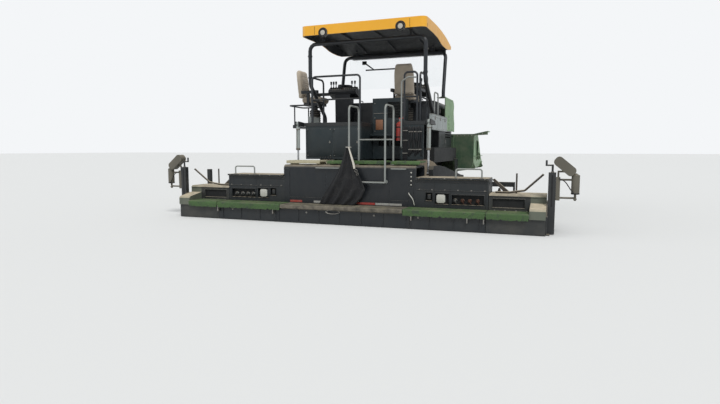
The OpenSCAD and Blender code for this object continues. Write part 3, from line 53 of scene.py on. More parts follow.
# Driving sizes in millimetres, with Y measured from the rear edge of the walkway
Y_MID = 3320.0
ROOF_X, ROOF_Y0, ROOF_Y1, RIM_Z0, RIM_Z = 1250.0, 1120.0, 3620.0, 3525.0, 3710.0
ROOF_CREST, ROOF_DROP, ROOF_JOINT_X = 30.0, 165.0, 950.0
LAMP_X, LAMP_Z, LAMP_R = 775.0, 3560.0, 78.0
FACE_Y, TREAD_Z = 410.0, 330.0
BASIC_X, END_X = 1275.0, 3400.0
HOOD_TOP, BOX_TOP, END_TOP = 1040.0, 846.0, 600.0
FLOOR_Z, WALL_Y, PANE_Y = 1850.0, 1215.0, 3420.0
HOOD_X, HOOD_Y1, HOOD_Z1 = 1125.0, 4400.0, 2370.0
CABINET_Y = 1880.0
BOW_X, BOW_R = 1185.0, 38.0
WING_X, WING_Y0, WING_Y1 = 1660.0, 4460.0, 6180.0
CRAWLER_X, SHOE_W, DRIVE_Y, DRIVE_Z = 1110.0, 310.0, 2390.0, 390.0
IDLER_Y, IDLER_Z, SHOE_COUNT, PITCH_DEPTH, LINK_DEPTH = 4610.0, 340.0, 46, 42.0, 59.0
ROLLER_Y, ROLLER_Z, ROLLER_PITCH, ROLLER_COUNT = 2720.0, 161.3, 320.0, 6
CONVEYOR_CHAIN_X, CONVEYOR_CHAIN_Y, CONVEYOR_LINK, CONVEYOR_LINKS = (75, 515), 2008, 62, 64
AUGER_Y, AUGER_Z, AUGER_R, AUGER_PITCH = 1480.0, 420.0, 205.0, 300.0
MAT_X, MAT_SPLIT, MAT_STEP, CLOSING_BOX_X = 1160, 2500, 8, 3160
# Section of the matting over the walkway's rear edge, as (y, z)
MAT_PROFILE = ((5, 218), (2, 262), (1, 300), (0, 320), (10, 329.5), (40, 331), (385, 331))
POST_X, SENSOR_X, SENSOR_Y = 3471.3, 3806.9, 305
RAIL_X, GRAB_Z, STRIP_Z0, STRIP_Z1 = (70, 740), 985, 342, 380
EXTINGUISHER, EXHAUST_X, EXHAUST_Y = (645, 1600, 1490), 520, 3290
# Recesses of a side box as x0, x1, z0 and z1, the fittings in the longest one, and the light cover's middle
RECESSES = ((1450, 1570, 450, 590), (1620, 1850, 400, 580), (1900, 2430, 400, 560))
FITTING_X, FITTING_Z, COVER_X, COVER_Z = (1960, 2080, 2200, 2330), 470, 1715, 492.5
# Width of the bars round the recesses, and the opening in an end unit as x0, x1, z0 and z1
BAR, END_OPENING = 14, (2568, 3070, 380, 520)
# Height of the tarpaulin's top, and its edges as (z, x) from the top down
TARP_TOP = 1360.0
TARP_LEFT = ((1360, 30), (1150, -40), (950, -120), (560, -370), (332, -490))
TARP_RIGHT = ((1360, 95), (1180, 140), (1000, 205), (760, 345), (620, 405), (470, 330), (332, 190))
LIFT_X, LIFT_TOP, LIFT_LOW, BARREL_L = 1330, (0, 1120, 1830), (0, 1100, 880), 520
SEAT_Z = FLOOR_Z + 480.6
PUFF_FRAMES, PUFF_FORCE, VOXEL, SEAM_DEPTH, SEAM_WIDTH = 20, 4.0, 0.010, 0.007, 0.009
SEATS = (("outer", -1525.0, 2330.0, -90.0), ("inner", 560.0, 2450.0, 0.0))
CONSOLES = ((-975.0, 2700.0), (560.0, 2845.0))
RIGHT, LEFT = 1, -1
SIDES = ((RIGHT, "right"), (LEFT, "left"))
REAR, FRONT, UP, DOWN = (0, -1, 0), (0, 1, 0), (0, 0, 1), (0, 0, -1)
# Suns as name, strength, angle across, pitch and turn, the last three in degrees
SUNS = (("key", 2.1, 18.0, 42.0, 38.0), ("fill", 0.5, 60.0, 60.0, -70.0))


def srgb(code):
    """A colour written as six hexadecimal digits, in the linear values that shaders take."""
    parts = [int(code[i:i + 2], 16) / 255 for i in (0, 2, 4)]
    return tuple(c / 12.92 if c <= 0.04045 else ((c + 0.055) / 1.055) ** 2.4 for c in parts) + (1.0,)


def darker(colour, share):
    return tuple(c * share for c in colour[:3]) + (1.0,)


DUST = srgb("b5a78f")
MUD = srgb("4a4238")
SCUFF = srgb("8d8f8c")


def feed(tree, node, inputs):
    """Sets a node's inputs to values, or links them to the outputs of other nodes."""
    for key, value in inputs.items():
        if isinstance(value, (int, float, tuple)):
            node.inputs[key].default_value = value
        else:
            tree.links.new(value, node.inputs[key])


def wired(tree, kind, inputs=None, **values):
    """A new node with its settings and inputs."""
    made = tree.nodes.new(kind)
    for key, value in values.items():
        setattr(made, key, value)
    feed(tree, made, inputs or {})
    return made


class Shader:
    """A node tree under construction, with short calls for the nodes used here."""

    def __init__(self, name):
        self.material = bpy.data.materials.new(name)
        self.material.use_nodes = True
        self.tree = self.material.node_tree
        self.place = self.node("ShaderNodeTexCoord")
        self.spot = self.place.outputs["Object"]

    def node(self, kind, inputs=None, **values):
        return wired(self.tree, kind, inputs, **values)

    def noise(self, scale, detail=4.0, rough=0.55, stretch=None):
        source = self.spot
        if stretch:
            source = self.node("ShaderNodeMapping", {"Vector": source, "Scale": stretch}).outputs["Vector"]
        return self.node("ShaderNodeTexNoise", {"Vector": source, "Scale": scale, "Detail": detail,
                                                "Roughness": rough}).outputs["Fac"]

    def ramp(self, source, low, high, bottom=0.0, top=1.0):
        return self.node("ShaderNodeMapRange", {"Value": source, "From Min": low, "From Max": high,
                                                "To Min": bottom, "To Max": top}).outputs["Result"]

    def maths(self, operation, a, b):
        return self.node("ShaderNodeMath", {0: a, 1: b}, operation=operation).outputs["Value"]

    def times(self, a, b):
        return self.maths("MULTIPLY", a, b)

    def mix(self, amount, a, b):
        """One colour over another. Inputs 6 and 7 and output 2 are the node's colours."""
        return self.node("ShaderNodeMix", {0: amount, 6: a, 7: b}, data_type="RGBA").outputs[2]

    def drift(self, base, shade, noise, low=0.35, high=0.7):
        """A colour with slow changes towards a darker shade of it."""
        return self.mix(self.ramp(noise, low, high), darker(base, shade), base)

    def axis(self, letter, output="Object"):
        return self.node("ShaderNodeSeparateXYZ", {"Vector": self.place.outputs[output]}).outputs[letter]

    def sideways(self):
        """Distance from the machine's middle plane."""
        return self.maths("ABSOLUTE", self.axis("X"), 0.0)

    def upward(self):
        """How far a surface faces up, from 0 on a wall to 1 on a floor."""
        return self.ramp(self.axis("Z", "Normal"), 0.25, 0.95)

    def edges(self, radius):
        """A mask of the rounded edges, and the normals that round them."""
        normal = self.node("ShaderNodeBevel", {"Radius": radius}, samples=4).outputs["Normal"]
        flat = self.node("ShaderNodeNewGeometry").outputs["Normal"]
        dot = self.node("ShaderNodeVectorMath", {0: normal, 1: flat}, operation="DOT_PRODUCT")
        return self.ramp(dot.outputs["Value"], 0.985, 0.85), normal

    def bump(self, height, strength, distance, normal=None):
        made = self.node("ShaderNodeBump", {"Height": height, "Strength": strength, "Distance": distance})
        if normal:
            feed(self.tree, made, {"Normal": normal})
        self.put({"Normal": made.outputs["Normal"]})

    def put(self, inputs):
        feed(self.tree, self.tree.nodes["Principled BSDF"], inputs)

    def done(self, colour, rough, inputs=None):
        """The material with its colour, its roughness and any other inputs."""
        self.put({"Base Color": colour, "Roughness": rough, **(inputs or {})})
        return self.material


def paint_layers(s, body, base, rough, dust, grime, wall, edge_wear_and_highlight, coat=0.0, film_colour=DUST,
                 edge_colour=SCUFF):
    """Grime in streaks, a thin film on walls, dust on what faces up and worn edges, over a body colour. A
    bright edge colour makes the edges a painted highlight instead of wear.
    """
    streaks = s.ramp(s.noise(7.0, 6, 0.65, (1.0, 1.0, 0.22)), 0.52, 0.74, 0.0, grime)
    body = s.mix(streaks, body, tuple(c * 0.5 + m * 0.25 for c, m in zip(base[:3], MUD[:3])) + (1.0,))
    film = s.ramp(s.noise(3.2, 6, 0.7), 0.34, 0.74, wall * 0.2, wall)
    lying = s.times(s.upward(), s.ramp(s.noise(5.5, 7, 0.72), 0.34, 0.60, dust * 0.55, dust))
    body = s.mix(s.maths("MAXIMUM", film, lying), body, film_colour)
    # Edges take the edge colour: worn paint for most finishes, a painted highlight on the yellow roof.
    rim, normal = s.edges(0.007)
    rim = s.times(rim, s.ramp(s.noise(16.0, 6, 0.7), 0.42, 0.62, 0.0, edge_wear_and_highlight))
    s.bump(s.noise(95.0, 3), 0.18, 0.0006, normal)
    mottled = s.ramp(s.noise(11.0, 5), 0.3, 0.7, rough - 0.06, rough + 0.12)
    return s.done(s.mix(rim, body, edge_colour), s.maths("ADD", mottled, s.times(lying, 0.35)),
                  {"Coat Weight": coat})


def dusty_paint(name, colour, shade=0.8, rough=0.42, dust=0.55, grime=0.25, wall=0.1, edge_wear_and_highlight=0.35, **rest):
    """Paint with a slow colour drift under dust, grime and worn edges."""
    s = Shader(name)
    base = srgb(colour)
    body = s.drift(base, shade, s.noise(1.6, 5), 0.35, 0.68)
    return paint_layers(s, body, base, rough, dust, grime, wall, edge_wear_and_highlight, **rest)


def tread_mat(name, colour, bare, low, high, middle=None, cream=None):
    """Green matting, thin in patches, tarry below a ragged line, and missing from the walkway's middle."""
    s = Shader(name)
    base = srgb(colour)
    body = s.drift(base, 0.68, s.noise(2.1, 6), 0.35, 0.68)
    body = s.mix(s.ramp(s.noise(150.0, 4, 0.8), 0.30, 0.70), darker(base, 0.45), body)
    body = s.mix(s.ramp(s.noise(9.0, 9, 0.78), 0.50, 0.62, 0.0, 0.75), body, srgb(bare))
    if middle:
        reach = s.maths("ADD", s.sideways(), s.ramp(s.noise(12.0, 6), 0.0, 1.0, -0.03, 0.03))
        brown = s.mix(s.ramp(s.noise(7.0, 8, 0.7), 0.35, 0.65), srgb("3b3832"), srgb("6f685b"))
        body = s.mix(s.ramp(reach, middle - 0.01, middle + 0.01, 1.0, 0.0), body, brown)
    if cream:
        split = s.maths("ADD", s.axis("X"), s.ramp(s.noise(9.0, 7, 0.7), 0.0, 1.0, -0.35, 0.35))
        body = s.mix(s.ramp(split, cream - 0.05, cream + 0.05, 0.85, 0.0), body, srgb("b3aa90"))
    wander = s.ramp(s.noise(14.0, 8, 0.7, (1.0, 1.0, 0.3)), 0.0, 1.0, -0.03, 0.03)
    ragged = s.maths("ADD", s.axis("Z"), wander)
    body = s.mix(s.ramp(ragged, low, high, 0.95, 0.0), body, srgb("171a1c"))
    studs = s.node("ShaderNodeTexVoronoi", {"Vector": s.spot, "Scale": 46.0})
    lying = s.times(s.upward(), s.ramp(s.noise(4.5, 8, 0.74), 0.42, 0.70, 0.0, 0.45))
    body = s.mix(lying, body, srgb("8f8a6c"))
    rim, normal = s.edges(0.006)
    worn_rim = s.times(rim, s.ramp(s.noise(18.0, 6), 0.45, 0.6, 0.0, 0.5))
    relief = s.maths("ADD", s.ramp(studs.outputs["Distance"], 0.15, 0.45, 0.4, 0.0), s.noise(150.0, 4, 0.8))
    s.bump(relief, 0.7, 0.004, normal)
    return s.done(s.mix(worn_rim, body, SCUFF), 0.72)


def wing_paint(name, outer, rear):
    """Hopper paint: light green on the outer faces, and a painted shade of deep green on the faces that look
    rearwards.
    """
    s = Shader(name)
    base = srgb(outer)
    body = s.drift(base, 0.82, s.noise(1.6, 5), 0.35, 0.68)
    # Painted shade: faces that look rearwards take the deep rear colour.
    body = s.mix(s.ramp(s.axis("Y", "Normal"), -0.95, -0.6, 1.0, 0.0), body, srgb(rear))
    return paint_layers(s, body, base, 0.42, 0.35, 0.3, 0.2, 0.4)


def end_paint(name, box, outer, x0, z0):
    """Dark paint on an end unit, with a grey-green closing box from x0 outwards and above z0."""
    s = Shader(name)
    base = srgb(box)
    body = s.drift(base, 0.8, s.noise(1.6, 5), 0.35, 0.68)
    beyond = s.ramp(s.sideways(), x0 - 0.002, x0)
    above = s.ramp(s.axis("Z"), z0 - 0.002, z0)
    body = s.mix(s.times(beyond, above), body, srgb(outer))
    body = s.mix(s.ramp(s.axis("Z"), 0.603, 0.605), body, srgb("2b2521"))
    return paint_layers(s, body, base, 0.45, 0.97, 0.35, 0.08, 0.3, film_colour=srgb("c0b39a"))


def bare_metal(name, colour, rough=0.4, rust=0.25, dust=0.35, tone="5b3d28"):
    """Scuffed steel with brown patches and dust."""
    s = Shader(name)
    body = s.drift(srgb(colour), 0.6, s.noise(9.0, 6, 0.6))
    patches = s.ramp(s.noise(5.0, 7, 0.7), 0.5, 0.68, 0.0, rust)
    body = s.mix(s.times(s.upward(), dust), s.mix(patches, body, srgb(tone)), DUST)
    s.bump(s.noise(60.0, 5), 0.3, 0.001, s.edges(0.005)[1])
    return s.done(body, s.ramp(s.noise(30.0, 4), 0.3, 0.7, rough, rough + 0.25),
                  {"Metallic": s.ramp(patches, 0.0, 0.3, 0.85, 0.3)})


def plastic(name, colour, rough=0.5, dust=0.3, grain=260.0):
    """Moulded plastic or rubber with a fine grain."""
    s = Shader(name)
    body = s.drift(srgb(colour), 0.8, s.noise(2.5, 4))
    lying = s.times(s.upward(), s.ramp(s.noise(6.0, 6), 0.35, 0.65, 0.0, dust))
    s.bump(s.noise(grain, 2), 0.25, 0.0004, s.edges(0.004)[1])
    return s.done(s.mix(lying, body, DUST), s.ramp(s.noise(14.0, 4), 0.3, 0.7, rough - 0.05, rough + 0.12))


def cloth(name, colour, weave=900.0, sheen=0.3, soil=0.3, soiling=DUST):
    """Woven cloth: two crossed wave patterns under a slow colour drift and soiled patches."""
    s = Shader(name)
    waves = [s.node("ShaderNodeTexWave", {"Vector": s.spot, "Scale": weave}, wave_type="BANDS",
                    bands_direction=direction).outputs["Fac"] for direction in ("X", "Z")]
    body = s.drift(srgb(colour), 0.72, s.noise(4.0, 5), 0.3)
    body = s.mix(s.ramp(s.noise(9.0, 6, 0.7), 0.5, 0.75, 0.0, soil), body, soiling)
    s.bump(s.times(*waves), 0.25, 0.0008)
    return s.done(body, 0.85, {"Sheen Weight": sheen})


def reflector(name, colour):
    """A strip of reflecting sheet: small raised cells under a clear face."""
    s = Shader(name)
    cells = s.node("ShaderNodeTexVoronoi", {"Vector": s.spot, "Scale": 120.0}, feature="DISTANCE_TO_EDGE")
    body = s.drift(srgb(colour), 0.75, cells.outputs["Distance"], 0.02, 0.09)
    body = s.mix(s.ramp(s.noise(8.0, 7, 0.7), 0.45, 0.72, 0.0, 0.55), body, srgb("7d7568"))
    s.bump(cells.outputs["Distance"], 0.2, 0.0005)
    return s.done(body, 0.28, {"Coat Weight": 0.5})


def clear_pane(name, tint, rough=0.04):
    """Clear sheet with a thin dusty film, and black wiper parts behind its rear face."""
    s = Shader(name)
    wiper = s.ramp(s.axis("Y"), (PANE_Y - Y_MID - 1.6) / 1000, (PANE_Y - Y_MID - 1.0) / 1000, 1.0, 0.0)
    film = s.ramp(s.noise(3.0, 7, 0.7), 0.45, 0.85, 0.0, 0.12)
    body = s.mix(wiper, s.mix(film, srgb(tint), srgb("c9c4b8")), srgb("14171a"))
    return s.done(body, s.ramp(film, 0.0, 0.22, rough, 0.4), {
        "Transmission Weight": s.ramp(wiper, 0.0, 1.0, 1.0, 0.0), "IOR": 1.45,
        "Alpha": s.maths("MAXIMUM", wiper, s.ramp(film, 0.0, 0.22, 0.18, 0.4))})


def lens_glass(name, colour):
    """A lamp's pressed lens: upright flutes on pale glass."""
    s = Shader(name)
    flutes = s.node("ShaderNodeTexWave", {"Vector": s.spot, "Scale": 60.0}, wave_type="BANDS",
                    bands_direction="X").outputs["Fac"]
    body = s.drift(srgb(colour), 0.8, flutes, 0.2, 0.8)
    body = s.mix(s.ramp(s.noise(20.0, 6), 0.5, 0.8, 0.0, 0.4), body, DUST)
    s.bump(flutes, 0.4, 0.001)
    return s.done(body, 0.12, {"Coat Weight": 0.8})


FINISHES = (
    (dusty_paint, "frame_paint", "1a2025", dict(dust=0.45, wall=0.04)),
    (bare_metal, "track_steel", "4b463f", dict(rough=0.55, rust=0.35, dust=0.45)),
    # hopper_green: its rear colour is painted shade on the faces that look rearwards.
    (wing_paint, "hopper_green", "6c9468", dict(rear="173c28")),
    (bare_metal, "bare_steel", "8a857c", dict(rust=0.3)),
    (dusty_paint, "hood_grey", "2a3036", dict(dust=0.4, coat=0.15, wall=0.05)),
    (dusty_paint, "panel_teal", "132329", dict(dust=0.25, wall=0.03)),
    (dusty_paint, "rail_black", "1b2128", dict(dust=0.15, rough=0.34, edge_wear_and_highlight=0.2, wall=0.02, grime=0.1)),
    (plastic, "console_black", "20242a", dict()),
    (cloth, "seat_fabric", "b1a594", dict()),
    (dusty_paint, "red_paint", "b3281f", dict(dust=0.2, rough=0.3, coat=0.4)),
    # roof_yellow: its bright edge colour is a painted highlight along the roof's edges.
    (dusty_paint, "roof_yellow", "e8a71c", dict(shade=0.94, dust=0.25, grime=0.1, wall=0.06,
        rough=0.34, coat=0.3, edge_wear_and_highlight=0.7, edge_colour=srgb("ffd866"))),
    (plastic, "lining_dark", "26292d", dict(rough=0.6)),
    (dusty_paint, "lamp", "cfd0cc", dict(dust=0.2)),
    (dusty_paint, "screed_paint", "0f171e", dict(dust=0.5, grime=0.25, wall=0.02, rough=0.36, edge_wear_and_highlight=0.25)),
    (tread_mat, "walk_green", "557540", dict(bare="2b332e", low=0.262, high=0.290, cream=-0.43)),
    (dusty_paint, "rail_grey", "868b89", dict(dust=0.3, edge_wear_and_highlight=0.2)),
    (cloth, "tarp_black", "101114", dict(weave=500.0, sheen=0.05, soil=0.22, soiling=srgb("4a4843"))),
    (plastic, "sensor_dust", "5f5b50", dict(dust=0.45)),
    (dusty_paint, "cylinder_grey", "959d9b", dict(dust=0.2)),
    (bare_metal, "rod_chrome", "d8dadb", dict(rough=0.12, rust=0.0, dust=0.1)),
    (bare_metal, "engine_iron", "5a5d60", dict()),
    (bare_metal, "exhaust_steel", "7a7066", dict(rust=0.4)),
    (clear_pane, "pane", "e6eef0", dict()),
    (end_paint, "end_green", "171f24", dict(outer="535a4f", x0=3.160, z0=0.2485)),
    (dusty_paint, "box_paint", "131b21", dict(dust=0.9, grime=0.35, wall=0.03, edge_wear_and_highlight=0.25)),
    (tread_mat, "mat_green", "4b6a3a", dict(bare="2b332e", low=0.214, high=0.236, middle=1.15)),
    (dusty_paint, "box_grey", "939b9b", dict(dust=0.3, edge_wear_and_highlight=0.2)),
    (dusty_paint, "arm_black", "14191d", dict(dust=0.22, wall=0.03, edge_wear_and_highlight=0.25, rough=0.8)),
    (dusty_paint, "guard_beige", "a39684", dict(dust=0.4, wall=0.3)),
    # seam_dark: dark joints, and painted shade at the backs of holes, recesses and openings.
    (plastic, "seam_dark", "0f1113", dict(rough=0.7, dust=0.1)),
    (plastic, "rubber", "16171a", dict(rough=0.6, dust=0.25, grain=120.0)),
    (dusty_paint, "panel_orange", "7c4a2c", dict(dust=0.15, wall=0.15)),
    (reflector, "reflect_light", "9c9c97", dict()),
    (reflector, "reflect_red", "9b2a22", dict()),
    (dusty_paint, "cover_light", "c3c3bb", dict(dust=0.3, grime=0.35, wall=0.15, edge_wear_and_highlight=0.1)),
    (bare_metal, "fitting_brown", "5d4036", dict(rough=0.5, rust=0.5, dust=0.2, tone="7a3f2a")),
    (bare_metal, "bolt_steel", "9a9791", dict(rough=0.35, rust=0.3, dust=0.1)),
    (plastic, "button_red", "a82218", dict(rough=0.35, dust=0.1)),
    (plastic, "button_pale", "b9bcb8", dict(rough=0.4, dust=0.2)),
    (plastic, "display", "0c1216", dict(rough=0.15, dust=0.1)),
    (lens_glass, "lens", "b9b4a8", dict()),
    (cloth, "strap_white", "c8c4ba", dict(weave=700.0, soil=0.5)),
)
MATERIALS = {name: make(name, colour, **rest) for make, name, colour, rest in FINISHES}
node_slot = {row["node"]: row["material_slot"] for row in frame["record"]["subparts"]}
OWN_FINISH = {"walkway": "mat_green", "end_tread_left": "mat_green", "end_tread_right": "mat_green",
              "side_boxes": "box_paint", "tool_boxes": "box_grey", "crawler_guards": "guard_beige",
              "tow_arms": "arm_black", "side_lockers": "arm_black"}
for name, node in NODES.items():
    node.data.materials.clear()
    node.data.materials.append(MATERIALS[OWN_FINISH.get(name, node_slot[name])])


def placed(name, data):
    """A new object in the scene."""
    made = bpy.data.objects.new(name, data)
    bpy.context.scene.collection.objects.link(made)
    return made


def as_mesh(shape, name):
    """A mesh with what a bmesh holds."""
    mesh = bpy.data.meshes.new(name)
    shape.to_mesh(mesh)
    return mesh


def smoothed(shape):
    for face in shape.faces:
        face.smooth = True


def thicken(piece, thickness, offset):
    """Gives an open sheet its thickness."""
    thick = piece.modifiers.new("thickness", "SOLIDIFY")
    thick.thickness = thickness
    thick.offset = offset


def tilt(degrees, axis="X"):
    return Matrix.Rotation(math.radians(degrees), 3, axis)


def turn_to(direction):
    """Rotation that carries the Z axis to a direction."""
    return Vector((0, 0, 1)).rotation_difference(Vector(direction).normalized()).to_matrix()


class Form:
    """A visible piece under construction, in millimetres from the rear edge of the walkway."""

    def __init__(self, name, material, body="tractor"):
        self.name = name
        self.body = body
        self.material = material
        self.mesh = bmesh.new()

    def soften(self, verts, width, segments=2):
        inside = set(verts)
        edges = [e for e in self.mesh.edges if e.verts[0] in inside and e.verts[1] in inside
                 and (len(e.link_faces) < 2 or e.calc_face_angle(0.0) > 0.6)]
        if width > 0 and edges:
            bmesh.ops.bevel(self.mesh, geom=edges, offset=width, segments=segments, profile=0.5,
                            affect="EDGES", material=-1, clamp_overlap=True)

    def box(self, low, high, bevel=3.0, segments=2, turn=None):
        """A block with softened edges, turned about its middle where a rotation is given."""
        low, high = Vector(low), Vector(high)
        low, high = Vector(map(min, low, high)), Vector(map(max, low, high))
        size, middle = high - low, (low + high) / 2
        verts = bmesh.ops.create_cube(self.mesh, size=1.0)["verts"]
        for v in verts:
            place = Vector((v.co.x * size.x, v.co.y * size.y, v.co.z * size.z))
            v.co = (turn @ place if turn else place) + middle
        self.soften(verts, min(bevel, min(size) * 0.4), segments)

    def rod(self, start, end, radius, sides=20, bevel=1.5):
        """A round bar between two points."""
        start, end = Vector(start), Vector(end)
        verts = bmesh.ops.create_cone(self.mesh, cap_ends=True, segments=sides, radius1=radius,
                                      radius2=radius, depth=(end - start).length)["verts"]
        turn = turn_to(end - start)
        for v in verts:
            v.co = turn @ v.co + (start + end) / 2
        self.soften(verts, min(bevel, radius * 0.4), 1)

    def bolt(self, place, direction, radius=10.0, height=7.0):
        """A hexagon head on its washer."""
        place, out = Vector(place), Vector(direction).normalized()
        self.rod(place - out, place + out * 2.0, radius * 1.55, 12, 0.0)
        self.rod(place + out * 1.5, place + out * (height + 1.5), radius, 6, 1.0)

    def bolts(self, places, direction, radius=10.0, height=7.0):
        for place in places:
            self.bolt(place, direction, radius, height)

    def slab(self, outline, axis, start, end, bevel=2.0, segments=2):
        """A flat outline in the plane across an axis, drawn out along that axis."""
        spot = {"X": lambda a, b: (start, a, b), "Y": lambda a, b: (a, start, b),
                "Z": lambda a, b: (a, b, start)}[axis]
        base = [self.mesh.verts.new(spot(*p)) for p in outline]
        grown = bmesh.ops.extrude_face_region(self.mesh, geom=[self.mesh.faces.new(base)],
                                              use_keep_orig=True)["geom"]
        top = [g for g in grown if isinstance(g, bmesh.types.BMVert)]
        way = {"X": Vector((1, 0, 0)), "Y": Vector((0, 1, 0)), "Z": Vector((0, 0, 1))}[axis]
        bmesh.ops.translate(self.mesh, verts=top, vec=way * (end - start))
        self.soften(base + top, bevel, segments)

    def lathe(self, profile, place, direction, steps=32):
        """A profile of (radius, height) pairs turned about a direction."""
        turn, place = turn_to(direction), Vector(place)
        verts = [self.mesh.verts.new(turn @ Vector((r, 0, h)) + place) for r, h in profile]
        edges = [self.mesh.edges.new(pair) for pair in zip(verts, verts[1:])]
        bmesh.ops.spin(self.mesh, geom=verts + edges, axis=Vector(direction).normalized(), cent=place,
                       steps=steps, angle=2 * math.pi, use_merge=False)

    def band(self, inner, outer, low, high, place, direction, steps=32):
        """A ring of rectangular section about a direction."""
        self.lathe([(inner, low), (outer, low), (outer, high), (inner, high)], place, direction, steps)

    def surround(self, side, x0, x1, z0, z1):
        """Four bars round an opening in the screed's rear face."""
        for a, b in (((x0 - BAR, z0 - BAR), (x1 + BAR, z0)), ((x0 - BAR, z1), (x1 + BAR, z1 + BAR)),
                     ((x0 - BAR, z0), (x0, z1)), ((x1, z0), (x1 + BAR, z1))):
            self.box((side * a[0], FACE_Y - 6, a[1]), (side * b[0], FACE_Y + 1, b[1]), 2)

    def tube(self, points, radius, sides=12, closed=False):
        """A round tube along points."""
        line = bpy.data.curves.new("line", "CURVE")
        line.dimensions = "3D"
        line.bevel_depth = radius
        line.bevel_resolution = sides // 2 - 2
        line.use_fill_caps = not closed
        spline = line.splines.new("POLY")
        spline.points.add(len(points) - 1)
        for target, p in zip(spline.points, points):
            target.co = (*p, 1.0)
        spline.use_cyclic_u = closed
        holder = bpy.data.objects.new("line", line)
        swept = bpy.data.meshes.new_from_object(holder)
        self.mesh.from_mesh(swept)
        bpy.data.objects.remove(holder)
        bpy.data.meshes.remove(swept)
        bpy.data.curves.remove(line)

    def helix(self, side, x0, turns, pitch, inner, outer, thick, steps):
        """A screw's blade on the auger's axis: its section spun and carried along X."""
        half = thick / 2
        corners = [(x0 - half, inner), (x0 - half, outer), (x0 + half, outer), (x0 + half, inner)]
        verts = [self.mesh.verts.new((side * x, AUGER_Y + r, AUGER_Z)) for x, r in corners]
        bmesh.ops.spin(self.mesh, geom=[self.mesh.faces.new(verts)], axis=(1, 0, 0),
                       cent=(0, AUGER_Y, AUGER_Z), dvec=(side * pitch / steps, 0, 0),
                       steps=int(turns * steps), angle=2 * math.pi * turns, use_merge=False)

    def done(self, sharp=0.6):
        bmesh.ops.remove_doubles(self.mesh, verts=self.mesh.verts, dist=0.01)
        bmesh.ops.recalc_face_normals(self.mesh, faces=self.mesh.faces)
        smoothed(self.mesh)
        for edge in self.mesh.edges:
            edge.smooth = len(edge.link_faces) == 2 and edge.calc_face_angle(0.0) < sharp
        for v in self.mesh.verts:
            v.co = to_metres(v.co)
        made = placed(self.name, as_mesh(self.mesh, self.name))
        self.mesh.free()
        finish(made, self.body, self.material)
        return made


def close(*forms):
    for form in forms:
        form.done()


def to_metres(place):
    return Vector((place[0], place[1] - Y_MID, place[2])) / 1000


def finish(piece, body, material):
    piece.data.materials.clear()
    piece.data.materials.append(MATERIALS[material])
    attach(piece, body)


def bend(corners, rounding=60.0, steps=5):
    """Points along a polyline whose corners are rounded."""
    corners = [Vector(c) for c in corners]
    points = [corners[0]]
    for before, here, after in zip(corners, corners[1:], corners[2:]):
        cut = min(rounding, (here - before).length * 0.45, (after - here).length * 0.45)
        start = here + (before - here).normalized() * cut
        end = here + (after - here).normalized() * cut
        for k in range(steps + 1):
            t = k / steps
            points.append(start.lerp(here, t).lerp(here.lerp(end, t), t))
    points.append(corners[-1])
    return points


def ring(middle, radius, direction, count, start=0.0):
    """Points spaced round a circle across a direction."""
    turn = turn_to(direction)
    angles = [start + 2 * math.pi * k / count for k in range(count)]
    return [turn @ Vector((radius * math.cos(a), radius * math.sin(a), 0)) + Vector(middle) for a in angles]


def roof_at(y):
    t = (y - ROOF_Y0) / (ROOF_Y1 - ROOF_Y0)
    return RIM_Z + ROOF_CREST * math.sin(math.radians(150 * t)) - ROOF_DROP * t ** 3


def canopy():
    """Joints and beads of the roof's shell, the lamps' rings and lenses, and the bows' fittings."""
    lines = Form("roof_joints", "seam_dark")
    beads = Form("roof_beads", "roof_yellow")
    for x in (-ROOF_JOINT_X, ROOF_JOINT_X):
        over = [(x, y, roof_at(y) - 1.5) for y in range(1160, 3560, 60)]
        lines.tube(over, 4.0, 8)
        lines.box((x - 4, ROOF_Y0 - 1.2, RIM_Z0 + 8), (x + 4, ROOF_Y0 + 4, RIM_Z - 25), 1.0, 1)
    for x in (-700, -350, 0, 350, 700):
        beads.tube([(x, y, roof_at(y) - 5) for y in range(1300, 3400, 60)], 14.0, 14)
    for side in (RIGHT, LEFT):
        lines.box((side * (ROOF_X - 5), 1240, RIM_Z0 + 12), (side * (ROOF_X + 1), 1258, RIM_Z0 + 78), 1.0, 1)
        for y in (1500, 2900):
            beads.lathe([(0, 9), (14, 8), (20, 3), (22, -6)], (side * 1120, y, roof_at(y)), UP, 20)
    close(lines, beads)
    rings = Form("lamp_rings", "rubber")
    lenses = Form("lamp_lenses", "lens")
    for x in (-LAMP_X, LAMP_X):
        rim, face = (x, ROOF_Y0, LAMP_Z), (x, ROOF_Y0 - 12, LAMP_Z)
        rings.lathe([(LAMP_R + dr, dy) for dr, dy in ((2, -6), (17, -6), (19, 2), (12, 7), (4, 4), (2, -6))],
                    rim, REAR, 40)
        rings.lathe([(48, -1), (48, 3), (60, 9), (76, 8), (79, -1)], face, REAR, 40)
        lenses.lathe([(0, 6), (20, 5.4), (38, 3.4), (49, 1.0)], face, REAR, 40)
    close(rings, lenses)
    fittings = Form("bow_fittings", "rail_black")
    bolts = Form("bow_bolts", "bolt_steel")
    for side in (RIGHT, LEFT):
        x = side * BOW_X
        for z in (3180, 2760):
            fittings.band(BOW_R - 1, BOW_R + 7, -16, 16, (x, 1400, z), UP)
        for z, y, y_back, y_front in ((FLOOR_Z, 2120, 55, 55), (2440, 3070, 50, 70)):
            fittings.box((x - 52, y - y_back, z), (x + 52, y + y_front, z + 12), 4)
            bolts.bolts([(x + dx, y + dy, z + 12) for dx in (-40, 40) for dy in (12 - y_back, y_front - 12)],
                        UP, 8, 6)
        bolts.bolt((x + side * (BOW_R + 6), 1400, 3180), (side, 0, 0), 7, 6)
        for y in (1400, 3290):
            bolts.bolts([(side * 900 + dx, y - 12, 3560) for dx in (-14, 14)], REAR, 5, 4)
    close(fittings, bolts)


